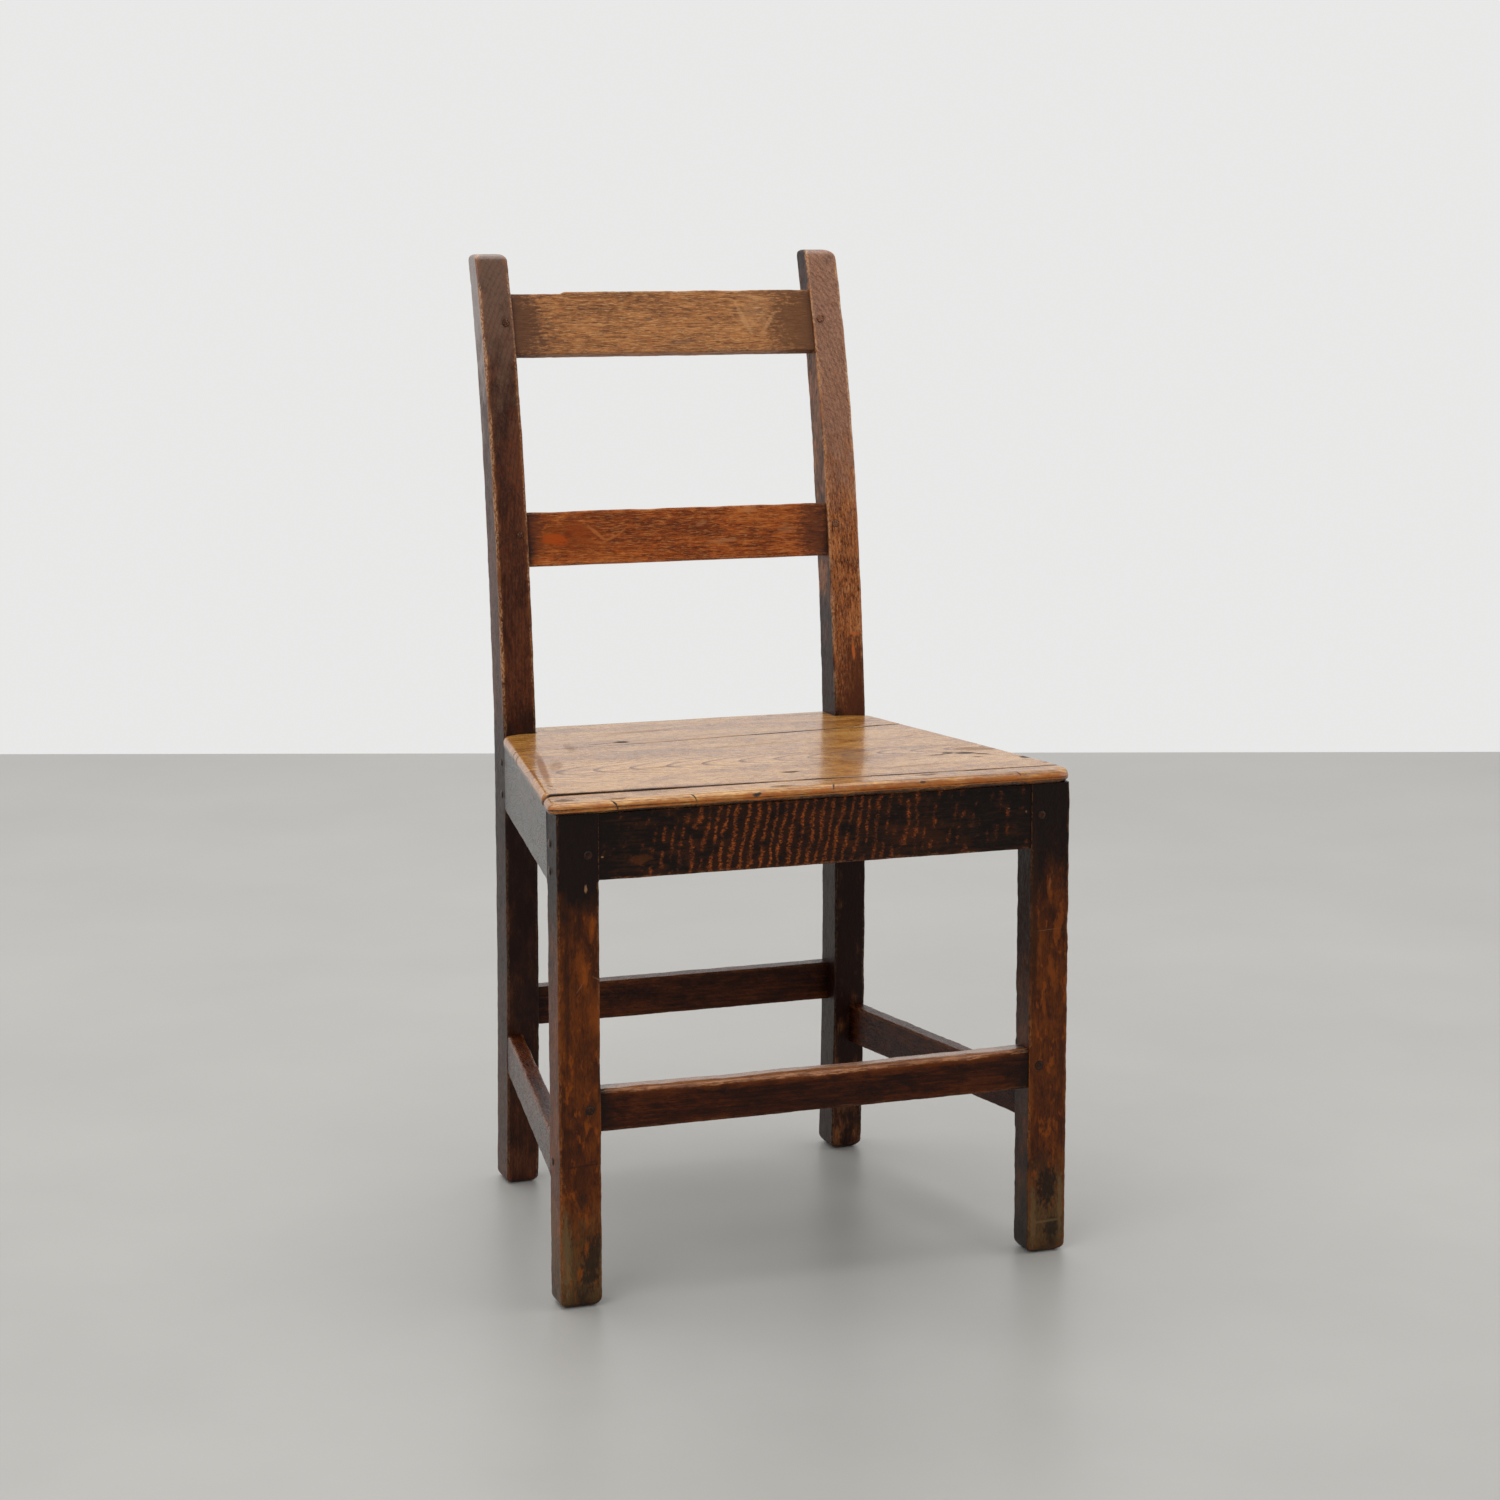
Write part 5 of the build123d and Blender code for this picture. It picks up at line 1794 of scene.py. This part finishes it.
            tail = self.notch_y + self.ease(deep, self.joint_round, self.top_round)[1:] * deep
            x = np.concatenate([x, np.broadcast_to(x[-1], (len(tail), columns))])
            y = np.concatenate([y, np.broadcast_to(tail[:, None], (len(tail), columns))])
            between = np.zeros(columns - 1, bool)
            between[len(shares) - 1 : len(shares) + len(inner)] = True
            solid = np.concatenate([solid, np.broadcast_to(between, (len(tail), len(between)))])
        return x, y, solid

    def joint_gap(self, board: BoardShape, x: Array, y: Array) -> Array:
        """Distance from the nearer of the board's joints and of its notches.

        Args:
            board: the board.
            x, y: places on it.
        Returns:
            Distances, of the shape of x and never under 0.
        """
        shut = np.clip((self.shut_at - x) / self.shut_reach, 0, 1) * MM
        gap = np.full_like(x, 1.0)
        if board.near:
            gap = np.minimum(gap, y - self.across(board.near, x) + board.near.shut * shut)
        if board.far:
            gap = np.minimum(gap, self.across(board.far, x) - y + board.far.shut * shut)
        else:
            beside = np.abs(x) > self.notch_x
            gap = np.where(beside, np.minimum(gap, self.notch_y - y), gap)
            between_posts = ~beside & (y > self.notch_y)
            gap = np.where(between_posts, np.minimum(gap, self.notch_x - np.abs(x)), gap)
        return np.clip(gap, 0, None)

    def heights(self, board: BoardShape, x: Array, y: Array) -> tuple[Array, Array]:
        """Heights of the board's top and of its bottom.

        The top is hollowed by sink * clip(0.6 + 0.5 * waver, 0, 1.5), and a dent takes
        depth * exp(-(distance / reach)^2) off it.

        Args:
            board: the board.
            x, y: places on it.
        Returns:
            The two heights, each of the shape of x.
        """
        gap = self.edge_gap(board, x, y)
        flat = np.stack([x, y, np.zeros_like(x)], axis=-1)
        sunk = self.sink * np.clip(0.6 + 0.5 * Waver(board.seed, 90 * MM).at(flat), 0, 1.5)
        eased = self.joint_round * (1 + 0.35 * Waver(board.seed + 1, 40 * MM).at(flat))
        fuller = self.front_extra * np.exp(-(((y - self.front) / self.front_reach) ** 2))
        top = self.top - sunk - self.lowered(board, x) - end_inset(gap, self.top_round + fuller)
        top -= end_inset(self.joint_gap(board, x, y), eased)
        for dent in self.dents:
            away = np.hypot(x - dent.x * MM, y - self.datum - dent.y * MM)
            top -= dent.depth * MM * np.exp(-((away / (dent.reach * MM)) ** 2))
        return top, self.bottom + end_inset(gap, self.bottom_round + fuller)

    def faces(self, solid: Array) -> tuple[Array, Array]:
        """Faces of the two sheets and of the rim that joins them.

        The rim stands on the cells' sides that only one cell has.

        Args:
            solid: which of the grid's cells are wood.
        Returns:
            Which of the grid's points are used, and (Q, 4) quads between those of the top
            sheet and, counted on from them, those of the bottom one.
        """
        used = np.zeros(np.add(solid.shape, 1), bool)
        fore, aft = slice(None, -1), slice(1, None)
        for rows, columns in ((fore, fore), (aft, fore), (aft, aft), (fore, aft)):
            used[rows, columns] |= solid
        index = np.cumsum(used.ravel()).reshape(used.shape) - 1
        count = int(used.sum())
        cells = np.stack([index[fore, fore], index[fore, aft], index[aft, aft], index[aft, fore]],
                         axis=-1)[solid]
        sides = np.concatenate([cells[:, [k, (k + 1) % 4]] for k in range(4)])
        key = np.sort(sides, axis=1) @ np.array([count, 1])
        _, first, uses = np.unique(key, return_index=True, return_counts=True)
        rim = sides[first[uses == 1]]
        walls = np.stack([rim[:, 1], rim[:, 0], rim[:, 0] + count, rim[:, 1] + count], axis=-1)
        return used, np.concatenate([cells, cells[:, ::-1] + count, walls])

    def build(self, board: BoardShape) -> None:
        """Makes one board.

        Args:
            board: which one, and how it is worn.
        """
        x, y, solid = self.plan(board)
        used, quads = self.faces(solid)
        points = np.concatenate([np.stack([x, y, level], axis=-1)[used]
                                 for level in self.heights(board, x, y)])
        origin = np.array([0, self.across(board.near or Joint(0, 0), np.zeros(1))[0], self.top])
        centre_x, centre_y, wide_x, wide_y = board.figure
        rays = np.exp(-(((x - centre_x) / wide_x) ** 2) - (((y - centre_y) / wide_y) ** 2))
        inward = self.half_width(y) - np.abs(x)
        grime_and_shade = (np.exp(-self.joint_gap(board, x, y) / self.joint_soil)
                 + self.side_grime * np.exp(-inward / self.side_fade))
        worn = np.exp(-(y - self.front) / self.corner_reach)

        def twice(values: Array, below: float = 0.0) -> Array:
            """A value for the top sheet and, with below added, for the bottom one."""
            return np.concatenate([values[used], values[used] + below])

        skin = Skin(
            points, quads, np.zeros((0, 3), int),
            grain=board.log.coordinates(points, origin, np.stack([Y, Z, X])),
            edge=twice(self.edge_gap(board, x, y)),
            wear=twice(self.side_wear + (1 - self.side_wear) * worn),
            # the bottom sheet takes painted shade, which darkens the lower half of the nosing's rim
            grime_and_shade=twice(grime_and_shade, self.under_grime), figure=twice(rays),
        ).faced_out()
        self.shop.place(board.node, skin, SEAT_OAK, "oak_seat", crease=0.9)


# ---- pegs ----
@dataclass(frozen=True)
class PegSet:
    """The pegs of one node: the coordinate they run along, their look and how far they are sunk.

    lift is how far a head is domed and skirt how wide the soil and painted shadow round it reach, in radii.
    board is the number of the seat board that they hold down; right is the finish of those on
    the right, where it differs.
    """

    node: str
    axis: int
    finish: Oak = PEG_OAK
    slot: str = "oak_frame_pegs"
    sink: float = 0.0
    lift: float = 0.85 * MM
    skirt: float = 1.14
    board: int | None = None
    right: Oak | None = None


@dataclass
class Pegs:
    """The riven pegs of the frame and of the seat, each a little out of round.

    A peg is a profile carried round its axis: radius(t) = r * (1 + 0.03 cos 2t + 0.025 cos 5t),
    with random phases. Its head is domed by lift * share^4 and a little tilted, a skirt of old
    soil and painted shadow lies round it, with a painted shadow line at the head's rim, and its
    end is square. Each row of the profile is a share of the radius, with 0 for the skirt's, a
    depth in mm and the soil and painted shadow there; the last two lie at the far end.
    """

    shop: Workshop
    seats: SeatBoards
    around: int = 28
    play: float = 0.99
    tilt: float = 0.03
    end_zone: float = 3 * MM
    log: Log = Log((20 * MM, 12 * MM))
    rows: tuple[Triple, ...] = (
        (0.35, 0.0, 0.0), (0.7, 0.0, 0.05), (0.86, 0.0, 0.25), (0.94, 0.0, 0.7), (1.0, 0.0, 1.1),
        (0.0, 0.0, 1.1), (0.0, 0.4, 1.1), (1.0, 1.5, 1.0), (1.0, 0.0, 1.0), (0.6, 0.0, 1.0),
    )
    sets: tuple[PegSet, ...] = (
        PegSet("front_rail_pegs", 1), PegSet("front_stretcher_pegs", 1),
        PegSet("left_side_rail_pegs", 0), PegSet("right_side_rail_pegs", 0),
        PegSet("left_side_stretcher_peg", 0), PegSet("right_side_stretcher_peg", 0),
        PegSet("middle_rail_pegs", 1, LEFT_POST_PEG_OAK, sink=0.55 * MM, lift=0.3 * MM, skirt=1.0,
               right=POST_PEG_OAK),
        PegSet("top_rail_pegs", 1, LEFT_POST_PEG_OAK, sink=0.72 * MM, lift=0.2 * MM, skirt=1.0,
               right=POST_PEG_OAK),
    ) + tuple(
        PegSet(f"{word}_board_pegs", 2, SEAT_PEG_OAK, "oak_seat_pegs", 0.40 * MM, 0.15 * MM, 1.0, board)
        for board, word in enumerate(("front", "middle", "back"))
    )

    def groups(self, node: str, axis: int, near: float = 5 * MM) -> list[Array]:
        """The CAD vertices of each peg of a node, found by how they lie seen along the pegs.

        Args:
            node: the CAD node.
            axis: 0, 1 or 2, the coordinate that the pegs run along.
            near: vertices nearer than this, seen along the pegs, belong together.
        Returns:
            One (n, 3) array for each peg.
        """
        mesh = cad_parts[node].data
        points = np.zeros(len(mesh.vertices) * 3)
        mesh.vertices.foreach_get("co", points)
        points = points.reshape(-1, 3)
        seen = np.delete(points, axis, axis=1)
        close = np.linalg.norm(seen[:, None] - seen[None], axis=-1) < near
        label = np.arange(len(points))
        for _ in range(12):
            label = np.where(close, label[None], len(points)).min(1)
        return [points[label == value] for value in np.unique(label)]

    def ends(self, points: Array, axis: int) -> tuple[Array, Array]:
        """The middles of a CAD peg's head and of its far end.

        Args:
            points: its vertices.
            axis: the coordinate that it runs along.
        Returns:
            The two middles; the head's lies at its outermost point along the axis.
        """
        outward = -1.0 if axis == 1 else 1.0 if axis == 2 else float(np.sign(points[:, 0].mean()))
        depth = points[:, axis] * outward
        head, tail = ((zone.min(0) + zone.max(0)) / 2
                      for zone in (points[depth > depth.max() - self.end_zone],
                                   points[depth < depth.min() + self.end_zone]))
        head[axis] = points[:, axis][depth.argmax()]
        return head, tail

    def peg(self, kind: PegSet, points: Array, seed: int) -> Skin:
        """Carries the profile round one peg.

        Args:
            kind: the set it belongs to.
            points: the CAD peg's vertices.
            seed: its own seed.
        Returns:
            Its closed skin.
        """
        draw = np.random.default_rng(SEED + seed)
        head, tail = self.ends(points, kind.axis)
        length = float(np.linalg.norm(tail - head))
        down = (tail - head) / length
        side = np.cross(down, Z if kind.axis != 2 else X)
        side /= np.linalg.norm(side)
        other = np.cross(down, side)
        seen = np.delete(points, kind.axis, axis=1)
        radius = float((seen.max(0) - seen.min(0)).min() / 2)
        sink = kind.sink
        if kind.board is not None:
            sink += float(self.seats.lowered(self.seats.boards[kind.board], head[:1])[0])
        t = np.linspace(0, 2 * np.pi, self.around, endpoint=False)
        wobble = (1 + 0.03 * np.cos(2 * t + draw.uniform(0, 6))
                  + 0.025 * np.cos(5 * t + draw.uniform(0, 6)))
        # soil_and_shade: old soil, and a painted shadow line round the head
        share, below, soil_and_shade = np.array(self.rows).T
        share = np.where(share > 0, share, kind.skirt)
        depth = sink + kind.lift * np.minimum(share, 1) ** 4 + below * MM
        depth[-2:] = length
        tilt = draw.uniform(-self.tilt, self.tilt, 2)
        ring = share[:, None, None] * radius * self.play * wobble[None, :, None] * (
            np.cos(t)[None, :, None] * side + np.sin(t)[None, :, None] * other)
        slope = (share < 1)[:, None] * ((ring @ side) * tilt[0] + (ring @ other) * tilt[1])
        wall = head + ring + (depth[:, None] + slope)[..., None] * down
        every = np.concatenate([wall.reshape(-1, 3), [head + sink * down, tail]])
        log = replace(self.log, start=float(draw.uniform(0, 3)))
        nothing = np.zeros(len(every))
        return Skin(
            every, *tube_faces(len(share), self.around),
            grain=log.coordinates(every, head, np.stack([side, other, down])),
            edge=nothing + 1, wear=nothing, figure=nothing,
            grime_and_shade=np.concatenate([np.repeat(soil_and_shade, self.around), [0.0, 1.0]]),
        ).faced_out()

    def build(self, kind: PegSet) -> None:
        """Makes all the pegs of one node.

        Args:
            kind: which ones.
        """
        skin = join_skins([self.peg(kind, points, 2000 + 37 * number + 11 * len(kind.node))
                           for number, points in enumerate(self.groups(kind.node, kind.axis))])
        piece = self.shop.place(kind.node, skin, kind.finish, kind.slot)
        if kind.right:
            piece.data.materials.append(self.shop.material(kind.right))
            corner = np.concatenate([skin.quads[:, 0], skin.tris[:, 0]])
            on_right = (skin.points[corner, 0] > 0).astype(np.int32)
            piece.data.polygons.foreach_set("material_index", on_right)


# ---- studio ----
@dataclass(frozen=True)
class Lamp:
    """A soft square lamp that faces a point of the chair."""

    name: str
    place: Triple
    size: float
    watts: float
    colour: Colour = (1.0, 1.0, 1.0)


@dataclass
class Studio:
    """Floor, world, lamps and camera."""

    yaw: float = math.radians(19.78)
    pitch: float = math.radians(7.89)
    roll: float = math.radians(-0.09)
    lens: float = 76.61
    sensor: float = 36.0
    shift: float = -0.06
    sight: float = 60.0
    eye: Triple = (-0.99153, -2.57422, 0.94305)
    floor_back: float = 2.62
    floor_reach: float = 9.0
    floor_colour: Colour = (0.438, 0.430, 0.409)
    floor_roughness: float = 0.33
    wall: Colour = (0.81, 0.81, 0.805)
    fill: float = 0.62
    dimmest: float = 0.16
    dim_from: float = -0.8
    target: Triple = (0.0, 0.0, 0.42)
    lamps: tuple[Lamp, ...] = (
        Lamp("overhead", (-0.3, 0.7, 4.4), 5.0, 143.0, (1.0, 0.99, 0.97)),
        Lamp("left_front", (-2.6, -2.4, 2.2), 2.2, 36.0),
        Lamp("right_fill", (2.8, -0.6, 1.6), 2.2, 10.0),
    )

    def camera(self) -> None:
        """The camera: its eye stands before the front legs, turned and tipped by its angles."""
        data = bpy.data.cameras.new("camera")
        data.lens, data.shift_y, data.sensor_width = self.lens, self.shift, self.sensor
        data.clip_end = self.sight
        camera = bpy.data.objects.new("camera", data)
        legs_front = node_box("left_front_leg")[0, 1]
        camera.location = Vector(self.eye) + Vector((0, legs_front, 0))
        turn = Euler((math.pi / 2 - self.pitch, 0, -self.yaw), "XYZ").to_matrix()
        camera.rotation_euler = (turn @ Euler((0, 0, self.roll)).to_matrix()).to_euler()
        bpy.context.scene.collection.objects.link(camera)
        bpy.context.scene.camera = camera

    def floor(self) -> None:
        """A wide pale plate, square to the camera, whose far edge makes the horizon."""
        ahead = np.array([math.sin(self.yaw), math.cos(self.yaw), 0])
        aside = np.array([math.cos(self.yaw), -math.sin(self.yaw), 0])
        wide = self.floor_reach
        corners = ((-wide, -wide), (wide, -wide), (wide, self.floor_back), (-wide, self.floor_back))
        mesh = bpy.data.meshes.new("floor")
        mesh.from_pydata([tuple(a * aside + b * ahead) for a, b in corners], [], [(0, 1, 2, 3)])
        g = Paint("floor")
        cloud = g.noise(g.tap("TexCoord", output="Object"), 0.5, 6, 0.6)
        tones = [(place, tuple(share * part for part in self.floor_colour))
                 for place, share in ((0.3, 0.93), (0.7, 1.05))]
        g.feed(g.shader, {"Base Color": g.ramp(cloud, tones),
                          "Roughness": cloud * 0.1 + self.floor_roughness})
        mesh.materials.append(g.material)
        floor = bpy.data.objects.new("floor", mesh)
        bpy.context.scene.collection.objects.link(floor)

    def world(self) -> None:
        """Pale walls to the camera and in reflections, dimmer in front, and a soft fill.

        A reflection's wall grows from dimmest to 1 while the ray's y and z add up to dim_from to 0.
        """
        world = bpy.data.worlds.new("world")
        bpy.context.scene.world = world
        world.use_nodes = True
        g = Graph(world.node_tree)

        def glow(strength: Value) -> Signal:
            """The wall's colour at a strength."""
            return g.tap("Background", {"Color": self.wall, "Strength": strength})

        rays = g.add("LightPath").outputs
        _, y, z = g.parts(g.tap("TexCoord", output="Generated"))
        dim = g.band(y + z, self.dim_from, 0.0, 1.0, self.dimmest)
        mirrored = g.math("MAXIMUM", Signal(g, rays["Is Glossy Ray"]),
                          Signal(g, rays["Is Transmission Ray"]))
        room = g.tap("MixShader", {0: mirrored, 1: glow(self.fill), 2: glow(dim)})
        seen = g.tap("MixShader", {0: Signal(g, rays["Is Camera Ray"]), 1: room, 2: glow(1.0)})
        g.add("OutputWorld", {0: seen})

    def light(self, lamp: Lamp) -> None:
        """Hangs one lamp.

        Args:
            lamp: which one.
        """
        data = bpy.data.lights.new(lamp.name, "AREA")
        data.size, data.energy, data.color = lamp.size, lamp.watts, lamp.colour
        item = bpy.data.objects.new(lamp.name, data)
        item.location = lamp.place
        item.rotation_euler = (Vector(self.target) - item.location).to_track_quat("-Z", "Y").to_euler()
        bpy.context.scene.collection.objects.link(item)

    def build(self) -> None:
        """Sets up everything round the chair."""
        self.camera()
        self.floor()
        self.world()
        for lamp in self.lamps:
            self.light(lamp)
        bpy.context.scene.view_settings.view_transform = "Standard"


def main() -> None:
    """Builds the chair's pieces in order, then the studio."""
    shop = Workshop()
    legs, posts = FrontLegs(shop), BackPosts(shop)
    for side in Side:
        legs.build(side)
        posts.build(side)
    cross, sides = CrossMembers(shop), SideMembers(shop, posts)
    for shape in cross.shapes:
        cross.build(shape)
    for shape in sides.shapes:
        for side in Side:
            sides.build(shape, side)
    rails = BackRails(shop, posts)
    for shape in rails.shapes:
        rails.build(shape)
    seat = SeatBoards(shop, posts)
    for board in seat.boards:
        seat.build(board)
    pegs = Pegs(shop, seat)
    for kind in pegs.sets:
        pegs.build(kind)
    Studio().build()
    LOG.info("%d pieces for %d CAD nodes", shop.count, len(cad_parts))


if __name__ == "__main__":
    main()
